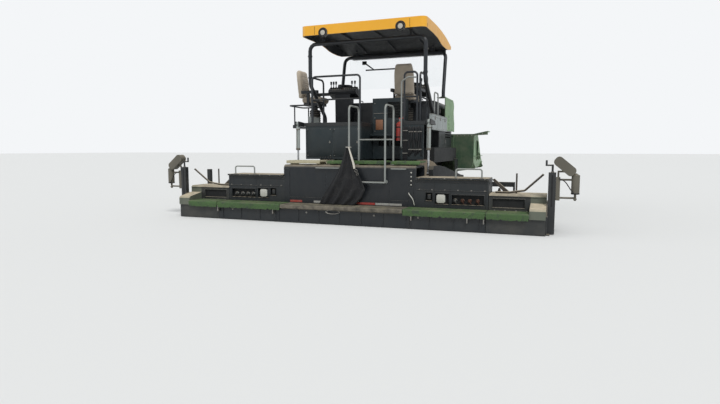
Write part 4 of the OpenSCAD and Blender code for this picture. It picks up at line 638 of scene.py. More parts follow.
def swollen(mesh, name, cap):
    """A closed mesh in metres, remeshed and then blown up a little by a cloth simulation."""
    pad = placed(name, mesh)
    even = pad.modifiers.new("even", "REMESH")
    even.mode = "VOXEL"
    even.voxel_size = VOXEL
    graph = bpy.context.evaluated_depsgraph_get()
    pad.data = bpy.data.meshes.new_from_object(pad.evaluated_get(graph))
    pad.modifiers.clear()
    before = [v.co.copy() for v in pad.data.vertices]
    scene = bpy.context.scene
    puff = pad.modifiers.new("puff", "CLOTH")
    puff.settings.use_pressure = True
    puff.settings.uniform_pressure_force = PUFF_FORCE
    puff.settings.effector_weights.gravity = 0.0
    puff.point_cache.frame_start = 1
    puff.point_cache.frame_end = PUFF_FRAMES
    for step in range(1, PUFF_FRAMES + 1):
        scene.frame_set(step)
    graph = bpy.context.evaluated_depsgraph_get()
    pad.data = bpy.data.meshes.new_from_object(pad.evaluated_get(graph))
    pad.modifiers.clear()
    scene.frame_set(1)
    for v, start in zip(pad.data.vertices, before):
        way = v.co - start
        if way.length > cap:
            v.co = start + way.normalized() * cap
    return pad


def carve(shape, marks, depth, width):
    """Presses sewn channels into a padded mesh: marks gives each point's distance from its nearest seam."""
    for v in shape.verts:
        near = marks(v.co)
        v.co -= v.normal * depth * math.exp(-(near / width) ** 2)


def seat_pads():
    """Cushion and backrest, swollen by simulation in the seat's own place, then set at both seats."""
    def cushion_marks(p):
        lines = [abs(p.z - 0.045)]
        if p.z > 0.07:
            lines.append(abs(abs(p.x) - 0.13))
            if abs(p.x) < 0.13:
                lines.append(abs(p.y - 0.12))
        return min(lines)

    def back_marks(p):
        if p.y <= -0.30:
            return 9.0
        across = [abs(p.z - z) for z in (0.30, 0.44, 0.58)] if abs(p.x) < 0.135 else []
        return min([abs(abs(p.x) - 0.135)] + across)

    cushion = [(-222, 10), (-232, 60), (-215, 112), (180, 116), (250, 106), (262, 60), (240, 12)]
    backrest = [(-300, 96), (-232, 100), (-205, 170), (-278, 700), (-306, 736), (-352, 726), (-366, 690)]
    shapes = (("cushion", cushion, 226.0, cushion_marks, 0.016),
              ("backrest", backrest, 214.0, back_marks, 0.014))
    made = []
    for word, outline, half, marks, cap in shapes:
        start = Form(word, "seat_fabric")
        start.slab(outline, "X", -half, half, 22.0, 3)
        for v in start.mesh.verts:
            v.co /= 1000
        rough = as_mesh(start.mesh, word + "_start")
        start.mesh.free()
        pad = swollen(rough, word + "_pattern", cap)
        shape = bmesh.new()
        shape.from_mesh(pad.data)
        bmesh.ops.subdivide_edges(shape, edges=shape.edges, cuts=1, use_grid_fill=True, smooth=0.6)
        bmesh.ops.recalc_face_normals(shape, faces=shape.faces)
        shape.normal_update()
        carve(shape, marks, SEAM_DEPTH, SEAM_WIDTH)
        for v in shape.verts:
            v.co.x *= 1 - 0.30 * max(0.0, (v.co.z - 0.46) / 0.28) ** 2.2
        smoothed(shape)
        made.append((word, shape))
        bpy.data.objects.remove(pad)
    for where, x, y, angle in SEATS:
        place = Matrix.Translation(to_metres((x, y, SEAT_Z))) @ Matrix.Rotation(math.radians(angle), 4, "Z")
        for word, shape in made:
            mesh = as_mesh(shape, f"{where}_{word}")
            mesh.transform(place)
            pad = placed(f"{where}_{word}", mesh)
            finish(pad, "tractor", "seat_fabric")
            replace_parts(pad, "seat_pads")
    for word, shape in made:
        shape.free()


def seat_details():
    """Bellows round the pedestals, and pads on the arm rests."""
    bellows = Form("seat_bellows", "rubber")
    shells = Form("seat_shells", "console_black")
    for _, x, y, angle in SEATS:
        folds = [(96, 52), (108, 56)]
        for k in range(7):
            z = 66 + k * 38
            folds += [(124, z + 8), (124, z + 14), (111, z + 28)]
        bellows.lathe(folds + [(100, 336)], (x, y, FLOOR_Z), UP, 40)
        spin = tilt(angle, "Z")
        for side in (-1, 1):
            low = spin @ Vector((side * 295, 15, 0)) + Vector((x, y, SEAT_Z + 243))
            half = Vector((198, 33, 12) if angle else (33, 198, 12))
            shells.box(low - half, low + half, 10, 3)
    close(bellows, shells)


def consoles():
    """Gaiters and knobs of the levers, buttons, and displays on the panels."""
    gaiters = Form("lever_gaiters", "rubber")
    knobs = Form("lever_knobs", "console_black")
    pale = Form("console_buttons", "button_pale")
    red = Form("stop_buttons", "button_red")
    screens = Form("console_displays", "display")
    slope = Vector((0, -60, 90)).normalized()
    for x, y in CONSOLES:
        z = FLOOR_Z + 0.3
        for dx in (-290, -230, -170, 210, 280):
            gaiters.lathe([(27, -6), (26, 6), (20, 10), (22, 15), (16, 20), (18, 25), (11, 34)],
                          (x + dx, y - 70, z + 828), UP, 20)
            knobs.lathe([(0, 24), (13, 21), (22, 10), (23, 0), (20, -12), (10, -16)],
                        (x + dx, y - 70, z + 960), UP, 20)
        for k in range(13):
            dx = -300 + k * 50
            place = Vector((x + dx, y - 113, z + 801.3))
            target = red if k == 6 else pale
            target.lathe([(0, 6), (7, 5), (9, 2), (10, -3)], place, slope, 14)
        screens.box((x - 110, y - 96, z + 838), (x - 10, y - 90, z + 900), 2, 1, tilt(-25))
        knobs.box((x - 122, y - 88, z + 826), (x + 2, y - 60, z + 912), 8, 3, tilt(-25))
        gaiters.tube(ring((x + 20, y + 20, z + 882), 127, UP, 40), 15.0, 12, True)
    close(gaiters, knobs, pale, red, screens)


def cabinet():
    """Door panel, vent, step holes with painted shade at their backs and behind the vent, hinges and handle
    of the cabinet, with the step's edge.
    """
    y = CABINET_Y
    panel = Form("cabinet_panel", "panel_orange")
    panel.box((48, y - 1, 1718), (202, y + 6, 1922), 3)
    panel.done()
    # Painted shade: dark sheets at the back and floor of each step hole, and behind the vent's louvres.
    dark = Form("cabinet_hole_shade", "seam_dark")
    for x0, x1 in ((112, 328), (382, 598)):
        dark.box((x0, y + 84, 1392), (x1, y + 90, 1548), 0)
        dark.box((x0, y + 4, 1391), (x1, y + 84, 1393), 0)
    dark.box((304, y + 21, 1954), (596, y + 25, 2266), 0)
    dark.done()
    trim = Form("cabinet_trim", "panel_teal")
    for k in range(10):
        z = 1962 + k * 31
        trim.box((302, y + 1, z), (598, y + 20, z + 4), 1, 1, tilt(-30))
    for z in (1250, 1480, 1700):
        trim.rod((-6, y - 7, z), (-6, y - 7, z + 60), 8, 16)
    trim.box((-19, y - 162, 1588), (644, y - 156, 1630), 2)
    trim.done()
    bolts = Form("cabinet_bolts", "bolt_steel")
    bolts.bolts([(x, y, z) for z in (2250, 1960, 1690) for x in (30, 620)], REAR, 7, 4)
    bolts.box((4, y - 9, 2042), (292, y + 1, 2054), 3)
    bolts.tube(bend([(595, y, 1700), (595, y - 40, 1700), (595, y - 40, 1860), (595, y, 1860)], 20), 7, 12)
    bolts.done()


def rear_walls():
    """Doors with hinges and latches under the platform, and the pressed lines on the right."""
    doors = Form("wall_doors", "panel_teal")
    metal = Form("wall_latches", "bolt_steel")
    for x0, x1 in ((-1190, -640), (-610, -60)):
        doors.box((x0, WALL_Y - 5, 1180), (x1, WALL_Y + 1, 1735), 4)
        for z in (1230, 1660):
            doors.rod((x0 + 8, WALL_Y - 9, z), (x0 + 8, WALL_Y - 9, z + 55), 7, 14)
        metal.lathe([(0, 6), (16, 5), (19, 1), (20, -2)], (x1 - 45, WALL_Y - 5, 1460), REAR, 24)
        metal.box((x1 - 49, WALL_Y - 15, 1450), (x1 - 41, WALL_Y - 9, 1495), 2)
        for x in (x0 + 30, x1 - 30):
            metal.bolts([(x, WALL_Y - 5, z) for z in (1200, 1715)], REAR, 6, 4)
    doors.done()
    lines = Form("oil_lines", "rubber")
    for k in range(5):
        x = 824 + k * 18
        route = [(x, WALL_Y + 2, 1748), (x, WALL_Y - 12, 1700 - k * 4), (x, WALL_Y - 12, 1120 - k * 12),
                 (x, WALL_Y + 120, 1010 - k * 14), (min(x, 880), 1952, 980 - k * 22)]
        lines.tube(bend(route, 70), 8, 12)
    for k in range(9):
        x = 936 + k * 29
        sway = 16 * math.sin(1.9 * k)
        route = [(x, WALL_Y + 2, 1752 - 9 * (k % 3)), (x, WALL_Y - 14, 1720 - 12 * (k % 3)),
                 (x + sway, WALL_Y - 20 - 6 * (k % 2), 1560), (x - sway, WALL_Y - 18, 1400),
                 (x, WALL_Y - 14, 1230 + 26 * (k % 4)), (x, WALL_Y + 2, 1196 + 26 * (k % 4))]
        lines.tube(bend(route, 60), 9.5 if k % 3 else 12, 12)
    for k in range(5):
        x = -880 + k * 56
        lines.tube(bend([(x, WALL_Y + 2, 1176), (x, WALL_Y - 20, 1160), (x, WALL_Y - 20, 1110 - 8 * k),
                         (x, WALL_Y + 120, 1020 - k * 10), (x, 1952, 990 - k * 20)], 60), 9, 12)
    lines.done()
    for x0, x1, heights in ((812, 908, (1240, 1480, 1660)), (924, 1180, (1310, 1640))):
        for z in heights:
            metal.box((x0, WALL_Y - 26, z), (x1, WALL_Y - 1, z + 20), 3)
            metal.bolts([(x, WALL_Y - 26, z + 10) for x in (x0 + 6, x1 - 6)], REAR, 5, 4)
    metal.done()


def extinguisher():
    """Bands, valve, gauge and short fixed nozzle of the extinguisher in the well."""
    x, y, z = EXTINGUISHER
    bands = Form("extinguisher_bands", "rubber")
    for dz in (60, 250):
        bands.band(74, 78.5, 0, 25, (x, y, z + dz), UP, 40)
    bands.tube(bend([(x, y - 20, z + 405), (x - 60, y - 45, z + 405), (x - 84, y - 40, z + 340),
                     (x - 84, y - 30, z + 120)], 40), 9, 12)
    bands.done()
    valve = Form("extinguisher_valve", "bolt_steel")
    valve.lathe([(24.5, 372), (27, 376), (27, 392), (24.5, 396)], (x, y, z), UP, 28)
    valve.lathe([(0, 8), (15, 7), (17, 0)], (x, y - 24, z + 410), REAR, 24)
    valve.box((x - 10, y - 14, z + 446), (x + 105, y + 14, z + 450), 1.5, 1, tilt(-8, "Y"))
    valve.done()
    foot = Form("extinguisher_foot", "red_paint")
    foot.lathe([(75.5, 0), (77, 2), (77, 12), (75.5, 16)], (x, y, z), UP, 40)
    foot.done()


def tool_boxes():
    """Lids, seams, latches and hinges of the boxes along the platform, and the side panels' bolts."""
    seams = Form("tool_box_seams", "seam_dark")
    lids = Form("tool_box_lids", "rail_grey")
    metal = Form("side_bolts", "bolt_steel")
    for side, y1, cuts in ((LEFT, 1942, 1), (RIGHT, 2950, 3)):
        x = side * 1300
        lids.box((side * 1238, 1526, 1986), (side * 1306, y1 + 3, 1998), 4)
        seams.box((x - 2, 1532, 1940), (x + side * 1.5, y1 - 2, 1944), 0.5, 1)
        for k in range(1, cuts):
            y = 1530 + (y1 - 1530) * k / cuts
            seams.box((x - 2, y - 2, 1702), (x + side * 1.5, y + 2, 1940), 0.5, 1)
        for k in range(cuts):
            y = 1530 + (y1 - 1530) * (k + 0.5) / cuts
            metal.box((x, y - 22, 1900), (x + side * 9, y + 22, 1962), 4)
            metal.box((x + side * 7, y - 12, 1890), (x + side * 14, y + 12, 1925), 3)
            metal.bolts([(x, y + dy, 1725) for dy in (-130, 130)], (side, 0, 0), 7, 4)
    for side in (RIGHT, LEFT):
        metal.bolts([(side * 1254, y, z) for y in range(3010, 3900, 165) for z in (2410, 1760)]
                    + [(side * 1254, 3000, z) for z in (1900, 2080, 2260)], (side, 0, 0), 8, 5)
    close(seams, lids, metal)


def hood():
    """Doors, hinges, handles and roof seams of the engine hood, and the exhaust's flap."""
    seams = Form("hood_seams", "seam_dark")
    metal = Form("hood_handles", "bolt_steel")
    for side in (RIGHT, LEFT):
        x = side * HOOD_X
        for y in (3010, 3610, 4300):
            seams.box((x - 3, y - 2, 1420), (x + side * 1.5, y + 2, 2200), 0.5, 1)
        for z in (1418, 2200):
            seams.box((x - 3, 3010, z - 2), (x + side * 1.5, 4300, z + 2), 0.5, 1)
        for y in (3560, 4262):
            metal.box((x, y - 16, 1760), (x + side * 8, y + 16, 1880), 5, 3)
            metal.box((x + side * 6, y - 7, 1780), (x + side * 15, y + 7, 1860), 4, 2)
        for y in (3030, 3632):
            for z in (1470, 2110):
                metal.rod((x + side * 4, y, z), (x + side * 4, y, z + 70), 9, 16)
    seams.box((-1000, 3678, HOOD_Z1 - 3), (1000, 3682, HOOD_Z1 + 1.5), 0.5, 1)
    seams.box((-4, 2970, HOOD_Z1 - 3), (0, 4390, HOOD_Z1 + 1.5), 0.5, 1)
    seams.box((-1122, HOOD_Y1 - 3, 1700), (1122, HOOD_Y1 + 1.5, 1704), 0.5, 1)
    for x in (-700, 700):
        for y in (3050, 4300):
            metal.tube(bend([(x - 40, y, HOOD_Z1 - 2), (x - 40, y, HOOD_Z1 + 45), (x + 40, y, HOOD_Z1 + 45),
                             (x + 40, y, HOOD_Z1 - 2)], 28), 9, 12)
    close(seams, metal)
    flap = Form("exhaust_flap", "exhaust_steel")
    x, y = EXHAUST_X, EXHAUST_Y
    flap.lathe([(0, 9), (55, 7), (70, 2), (72, -3), (0, -3)], (x, y - 4, 2640), (0, -0.25, 1), 32)
    flap.box((x - 15, y + 62, 2560), (x + 15, y + 82, 2652), 3)
    flap.band(61.5, 68, 0, 22, (x, y, 2540), UP)
    flap.bolts(ring((x, y, 2382), 80, UP, 6), UP, 7, 6)
    flap.done()


def loop_place(share):
    """Place and outward turn of a point on the crawler's loop, at mid depth of its links."""
    slope = 2 * math.atan((IDLER_Z - DRIVE_Z) / (IDLER_Y - DRIVE_Y))
    drive, idler, run = DRIVE_Z - PITCH_DEPTH, IDLER_Z - PITCH_DEPTH, IDLER_Y - DRIVE_Y
    idler_arc, drive_arc = math.pi + slope, math.pi - slope
    lengths = (run, idler * idler_arc, run, drive * drive_arc)

    def on_wheel(y, z, a):
        return y + (z - LINK_DEPTH) * math.sin(a), z - (z - LINK_DEPTH) * math.cos(a), a

    s = share * sum(lengths)
    if s < lengths[0]:
        return DRIVE_Y + s, LINK_DEPTH, 0.0
    s -= lengths[0]
    if s < lengths[1]:
        return on_wheel(IDLER_Y, IDLER_Z, s / idler)
    s -= lengths[1]
    if s < lengths[2]:
        y, z, a = on_wheel(IDLER_Y, IDLER_Z, idler_arc)
        return y + s * math.cos(a), z + s * math.sin(a), a
    return on_wheel(DRIVE_Y, DRIVE_Z, idler_arc + (s - lengths[2]) / drive)


def crawlers():
    """Link plates and pins of the chains, and caps and bolts of the wheels and rollers."""
    links = Form("chain_links", "track_steel")
    pins = Form("chain_pins", "bare_steel")
    for side in (RIGHT, LEFT):
        for face in (-1, 1):
            x = side * CRAWLER_X + face * SHOE_W / 2
            for k in range(SHOE_COUNT):
                y, z, a = loop_place((k + 0.5) / SHOE_COUNT)
                links.box((x - 3, y - 52, z - 12), (x + 3, y + 52, z + 12), 0, 1, Matrix.Rotation(a, 3, "X"))
                y, z, a = loop_place(k / SHOE_COUNT)
                pins.rod((x - 4, y, z), (x + face * 4, y, z), 11, 8, 0)
    links.done(0.3)
    pins.done()
    caps = Form("wheel_caps", "bare_steel")
    for side in (RIGHT, LEFT):
        out = (side, 0, 0)
        drive, idler = (side * 1245, DRIVE_Y, DRIVE_Z), (side * 1240, IDLER_Y, IDLER_Z)
        caps.lathe([(0, 16), (60, 14), (72, 4), (75, -2)], drive, out, 36)
        caps.bolts(ring(drive, 116, out, 14), out, 10, 8)
        caps.lathe([(0, 14), (34, 12), (42, 3), (44, -2)], idler, out, 32)
        caps.bolts(ring(idler, 56, out, 6), out, 6, 5)
        for k in range(ROLLER_COUNT):
            hub = (side * 1240, ROLLER_Y + ROLLER_PITCH * k, ROLLER_Z)
            caps.lathe([(0, 9), (24, 8), (30, 2), (44, 1), (46, -2)], hub, out, 28)
            caps.bolts(ring(hub, 62, out, 6), out, 5, 4)
    caps.done()
    ribs = Form("crawler_frame_ribs", "frame_paint")
    for side in (RIGHT, LEFT):
        x = side * 1220
        for y1, z0, z1 in ((4180, 330, 352), (4120, 450, 466)):
            ribs.box((x - 4, 2880, z0), (x + side * 7, y1, z1), 3)
        for y in (2960, 3300, 3640, 3980):
            ribs.box((x - 4, y, 350), (x + side * 7, y + 16, 452), 2)
    ribs.done()
    guards = Form("guard_bolts", "bolt_steel")
    for side in (RIGHT, LEFT):
        guards.bolts([(side * x, 1926, z) for x, z in
                      ((930, 740), (930, 1080), (1060, 1085), (1320, 740), (1130, 740))], REAR, 9, 6)
    guards.done()


def conveyor_chains():
    """Chain strands between the conveyor's scraper bars."""
    chains = Form("conveyor_chains", "track_steel")
    for side in (RIGHT, LEFT):
        for x in CONVEYOR_CHAIN_X:
            for k in range(CONVEYOR_LINKS):
                y = CONVEYOR_CHAIN_Y + CONVEYOR_LINK * k
                half = 9 if k % 2 else 15
                chains.box((side * x - half, y - 34, 521), (side * x + half, y + 34, 536), 0)
    chains.done(0.3)


def hopper_wings():
    """Outer ribs, edge bead, wear strip and bolts of each wing."""
    for side, word in SIDES:
        body = f"wing_{word}"
        ribs = Form(f"wing_ribs_{word}", "hopper_green", body)
        for y in (4960, 5330):
            top = 1560 if y < 5200 else 1260
            outline = ((-1, 1040), (40, 1090), (40, top - 60), (-1, top))
            ribs.slab([(side * (WING_X + dx), z) for dx, z in outline], "Y", y, y + 10, 1.5, 1)
        ribs.box((side * (WING_X - 1), 4560, 1150), (side * (WING_X + 30), 5870, 1162), 2)
        ribs.done()
        bolts = Form(f"wing_bolts_{word}", "bolt_steel", body)
        bolts.bolts([(side * WING_X, y, 1090) for y in range(4600, 5880, 160)], (side, 0, 0), 9, 6)
        for k in range(8):
            x = 1260 + k * 85
            z = 1648 + max(0.0, (x - 1660) * 70 / 320)
            bolts.bolt((side * x, WING_Y0, z), REAR, 9, 6)
        bolts.rod((side * 666, WING_Y1 - 1, 600), (side * 666, WING_Y1 + 6, 600), 22, 6)
        bolts.done()


def push_beam():
    """Caps of the rollers' pins, and the bolts on the beam."""
    bolts = Form("push_beam_bolts", "bolt_steel", "push_beam")
    for side in (RIGHT, LEFT):
        for e in (-1, 1):
            bolts.lathe([(0, 8), (22, 7), (26, 0)], (side * 470 + e * 325, 6545, 520), (e, 0, 0), 20)
        bolts.bolts([(side * x, 6375, 490) for x in (150, 350, 550, 760)], UP, 12, 8)
    bolts.done()


def augers():
    """Screws with smooth blades, in place of the faceted ones."""
    for side, word in SIDES:
        screw = Form(f"screw_{word}", "bare_steel", f"auger_{word}")
        x1 = 2802
        turns = (x1 - 190) / AUGER_PITCH
        screw.helix(side, 100, turns, AUGER_PITCH, 36, AUGER_R, 16, 36)
        screw.rod((side * 25, AUGER_Y, AUGER_Z), (side * x1, AUGER_Y, AUGER_Z), 45, 40)
        screw.rod((side * (x1 - 1), AUGER_Y, AUGER_Z), (side * 2850, AUGER_Y, AUGER_Z), 30, 32)
        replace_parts(screw.done(), f"auger_{word}")


def screed_trim():
    """Reflecting strips, grab bars, bolted strip and edges on the rear of the screed's hood."""
    y = FACE_Y
    for name, material, runs in (("strips_light", "reflect_light", ((-660, -170), (545, 1030))),
                                 ("strips_red", "reflect_red", ((140, 535), (-1150, -900)))):
        strips = Form(name, material, "screed")
        for x0, x1 in runs:
            strips.box((x0, y - 2, STRIP_Z0), (x1, y + 1, STRIP_Z1), 0.8, 1)
        strips.done()
    bars = Form("grab_bars", "rail_grey", "screed")
    for x0, x1 in ((-600, -140), (840, 1100)):
        corners = [(x, y1, GRAB_Z) for x, y1 in ((x0, y + 2), (x0, y - 42), (x1, y - 42), (x1, y + 2))]
        bars.tube(bend(corners, 22), 10, 12)
    bars.done()
    trim = Form("screed_edges", "screed_paint", "screed")
    for x in (-420, 20, 800):
        trim.box((x - 3, y - 3, 300), (x + 3, y + 1, 940), 1, 1)
    for x0, x1 in ((-1150, -430), (-415, 10), (815, 1150)):
        trim.box((x0, y - 3, 430), (x1, y + 1, 436), 1, 1)
    trim.done()
    bolts = Form("screed_bolts", "cover_light", "screed")
    bolts.bolts([(1197, y - 12, 715 + k * 70) for k in range(4)], REAR, 9, 6)
    bolts.done()
    dark = Form("hood_end_strips", "rubber", "screed")
    dark.box((1180, y - 12, 690), (1215, y - 8, 955), 2)
    dark.done()
    loop = Form("hood_end_loop", "cover_light", "screed")
    loop.tube(bend([(1152, y + 2, 575), (1165, y - 34, 560), (1240, y - 40, 470), (1256, y - 12, 372),
                    (1256, y + 2, 366)], 45), 8, 12)
    loop.done()


def sole_details():
    """Section flanges, brackets and the ring handle under the walkway's edge."""
    metal = Form("sole_brackets", "bolt_steel", "screed")
    for x in (-2490, -1300, 1300, 2220, 2480):
        metal.box((x - 9, 2, 150), (x + 9, 60, 268), 2)
    metal.bolts([(x, 60, 200) for x in (-2190, -640, 1410, 640)], REAR, 11, 8)
    turns = [2 * math.pi * k / 36 for k in range(36)]
    metal.tube([(-115 + 120 * math.cos(a), 30 + 26 * math.cos(a), 232 + 34 * math.sin(a)) for a in turns],
               7, 12, True)
    metal.done()
    flanges = Form("sole_flanges", "screed_paint", "screed")
    for x in (-BASIC_X, BASIC_X):
        for dx in (-14, 14):
            flanges.box((x + dx - 6, 54, 20), (x + dx + 6, 61, 246), 1.5, 1)
    for x in range(-2400, 2401, 400):
        flanges.box((x - 5, 50, 30), (x + 5, 61, 244), 1.5, 1)
    flanges.done()


def side_box_details():
    """Frames round the recesses, painted shade at the recesses' backs, brown fittings, hoses' couplings,
    door seams and box ledge bolts.
    """
    frames = Form("recess_frames", "screed_paint", "screed")
    brown = Form("recess_fittings", "fitting_brown", "screed")
    metal = Form("box_bolts", "bolt_steel", "screed")
    covers = Form("light_covers", "cover_light", "screed")
    dark = Form("box_seams_and_recess_shade", "seam_dark", "screed")
    plain = Form("recess_valves", "frame_paint", "screed")
    y = FACE_Y
    for side in (RIGHT, LEFT):
        for x0, x1, z0, z1 in RECESSES:
            frames.surround(side, x0, x1, z0, z1)
            # Painted shade: a dark sheet at the back of each recess.
            dark.box((side * (x0 + 1), y + 57, z0 + 1), (side * (x1 - 1), y + 60, z1 - 1), 0)
        for x in FITTING_X:
            target = brown if side == RIGHT and x > 2000 else plain
            place = (side * x, y - 2, FITTING_Z)
            target.lathe([(0, 15), (12, 14), (15, 6), (28, 6), (34, -2)], place, REAR, 20)
            target.tube(bend([(side * x, y - 14, FITTING_Z), (side * x, y - 30, FITTING_Z - 8),
                              (side * (x + 24), y - 26, 425), (side * (x + 26), y + 30, 408)], 18), 7, 10)
        plain.box((side * 1480, y + 8, 475), (side * 1540, y + 50, 560), 8, 3)
        rise = [math.radians(t) for t in range(0, 91, 15)]
        outline = [(COVER_X + a * (40 + 33 * math.cos(t)), COVER_Z + b * (38 + 33 * math.sin(t)))
                   for a, b in ((1, 1), (-1, 1), (-1, -1), (1, -1))
                   for t in (rise if a == b else rise[::-1])]
        covers.slab([(side * x, z) for x, z in outline], "Y", y - 11, y - 16, 3.0, 2)
        for x in (1600, 1880, 2460):
            dark.box((side * x - 2, y - 1.5, 300), (side * x + 2, y + 2, 800), 0.5, 1)
        for y1, z in ((y - 40, BOX_TOP - 8), (y, 640)):
            metal.bolts([(side * (1340 + k * 220), y1, z) for k in range(6)], REAR, 8, 5)
        for x in (1950, 2380):
            metal.box((side * x - 30, y + 40, BOX_TOP), (side * x + 30, y + 80, BOX_TOP + 8), 2)
        for z in (300, 620, 760):
            frames.box((side * 1285, y - 5, z), (side * 2490, y + 1, z + 14), 2)
    close(frames, brown, metal, covers, dark, plain)


def mats():
    """Rough matting over the outer treads, torn along its lower rear edge."""
    runs = (("mat_right", "screed", MAT_X, MAT_SPLIT - 10), ("mat_left", "screed", 10 - MAT_SPLIT, -MAT_X),
            ("mat_end_right", "end_right", MAT_SPLIT + 18, CLOSING_BOX_X - 12),
            ("mat_end_left", "end_left", 12 - CLOSING_BOX_X, -MAT_SPLIT - 18))
    for name, body, x0, x1 in runs:
        lengths = [math.dist(a, b) for a, b in zip(MAT_PROFILE, MAT_PROFILE[1:])]
        columns, rows = int((x1 - x0) / MAT_STEP), int(sum(lengths) / MAT_STEP)
        mat = Form(name, "mat_green", body)
        grid = []
        for i in range(columns + 1):
            x = x0 + (x1 - x0) * i / columns
            torn = 8 + 26 * noise.noise((x * 0.021, 3.1, 0)) + 14 * noise.noise((x * 0.09, 0, 7.7))
            line = []
            for j in range(rows + 1):
                run = max(0.0, torn) + (sum(lengths) - max(0.0, torn)) * j / rows
                k = 0
                while k < len(lengths) - 1 and run > lengths[k]:
                    run -= lengths[k]
                    k += 1
                (ya, za), (yb, zb) = MAT_PROFILE[k:k + 2]
                t = run / lengths[k]
                y, z = ya + (yb - ya) * t, za + (zb - za) * t
                spot = Vector((x, y, z))
                rough = 1.0 + max(0.0, 3.0 + 2.6 * noise.noise(spot * 0.05) + 2.0 * noise.noise(spot * 0.2))
                tilt = min(1.0, max(0.0, (z - 300) / 30))
                line.append(mat.mesh.verts.new((x, y - rough * (1 - tilt), z + rough * tilt)))
            grid.append(line)
        for a, b in zip(grid, grid[1:]):
            for p, q, r, t in zip(a, b, b[1:], a[1:]):
                mat.mesh.faces.new((p, q, r, t))
        thicken(mat.done(9.0), 0.003, -1.0)


def ladder():
    """Foot plates and rubber sleeves of the hand rails, and the raised treads' edges."""
    feet = Form("rail_feet", "rail_grey", "screed")
    for x in RAIL_X:
        feet.box((x - 40, 800, HOOD_TOP), (x + 40, 880, HOOD_TOP + 9), 3)
        feet.lathe([(16, 0), (27, 0), (27, 3), (18, 22)], (x, 840, HOOD_TOP + 9), UP, 24)
        feet.band(13, 32, 0, 8, (x, FACE_Y - 8, 760), FRONT, 24)
    feet.done()
    bolts = Form("rail_bolts", "bolt_steel", "screed")
    bolts.bolts([(x + dx, 840 + dy, HOOD_TOP + 9) for x in RAIL_X for dx in (-28, 28) for dy in (-28, 28)],
                UP, 7, 5)
    bolts.done()
    lips = Form("step_lips", "walk_green", "screed")
    for x0, x1 in ((-1250, -560), (-430, 20), (130, 690), (800, 1330)):
        lips.box((x0, 466, 1062), (x1, 476, 1118), 2)
        for k in range(int((x1 - x0) / 60)):
            for j in range(6):
                lips.lathe([(14, 5), (17, 4), (19, -1)], (x0 + 40 + 60 * k, 520 + 66 * j, 1115), UP, 8)
    lips.done()


def tarp():
    """Black sheet gathered at its top in a strap and hung over the hand rail's foot, in upright folds."""
    top, bottom, rows, columns = TARP_TOP, TREAD_Z + 2, 56, 96

    def edge(line, z):
        for (z1, x1), (z0, x0) in zip(line, line[1:]):
            if z >= z0 - 1:
                return x0 + (x1 - x0) * (z - z0) / (z1 - z0)
        return line[-1][1]

    shape = bmesh.new()
    bmesh.ops.create_grid(shape, x_segments=columns, y_segments=rows, size=0.5)
    for v in shape.verts:
        u, w = v.co.x + 0.5, v.co.y + 0.5
        z = bottom + (top - bottom) * w
        a, b = edge(TARP_LEFT, z), edge(TARP_RIGHT, z)
        x = a + (b - a) * (u + 0.012 * math.sin(9 * u + 5 * w))
        width = 6.0 + 22.0 * (1 - w) ** 0.6
        fold = math.sin(2 * math.pi * (3.3 * u ** 1.25 + 0.22 * math.sin(4.1 * w + 1.7)))
        fold = 0.66 * fold + 0.22 * math.sin(2 * math.pi * (7.1 * u + 0.5 * w * w) + 2.0)
        fold += 0.12 * math.sin(9.0 * w + 11.0 * u)
        hem = 7 * math.sin(2 * math.pi * 3.3 * u + 0.6) * (1 - w) ** 3
        v.co = Vector((x, 309 - width * fold - 10 * (1 - w), z + max(0.0, hem)))
    bmesh.ops.recalc_face_normals(shape, faces=shape.faces)
    for v in shape.verts:
        v.co = to_metres(v.co)
    smoothed(shape)
    area = sum(face.calc_area() for face in shape.faces)
    piece = placed("tarp_sheet", as_mesh(shape, "tarp_sheet"))
    shape.free()
    thicken(piece, 0.0025, 0.0)
    finish(piece, "screed", "tarp_black")
    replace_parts(piece, "tarp")
    strap = Form("tarp_strap", "strap_white", "screed")
    outline = [(72, 1368), (98, 1366), (196, 1080), (212, 990), (176, 980), (158, 1070)]
    strap.slab(outline, "Y", 284, 287, 1.0, 1)
    strap.tube(ring((66, 330, 1362), 46, UP, 32), 6, 10, True)
    strap = strap.done()
    eye = Form("tarp_ring", "bolt_steel", "screed")
    eye.tube(ring((226, 284, 948), 24, REAR, 28), 5, 10, True)
    eye.tube(ring((250, 284, 890), 20, REAR, 28), 4.5, 10, True)
    eye.rod((240, 284, 926), (247, 284, 908), 5, 12)
    eye = eye.done()


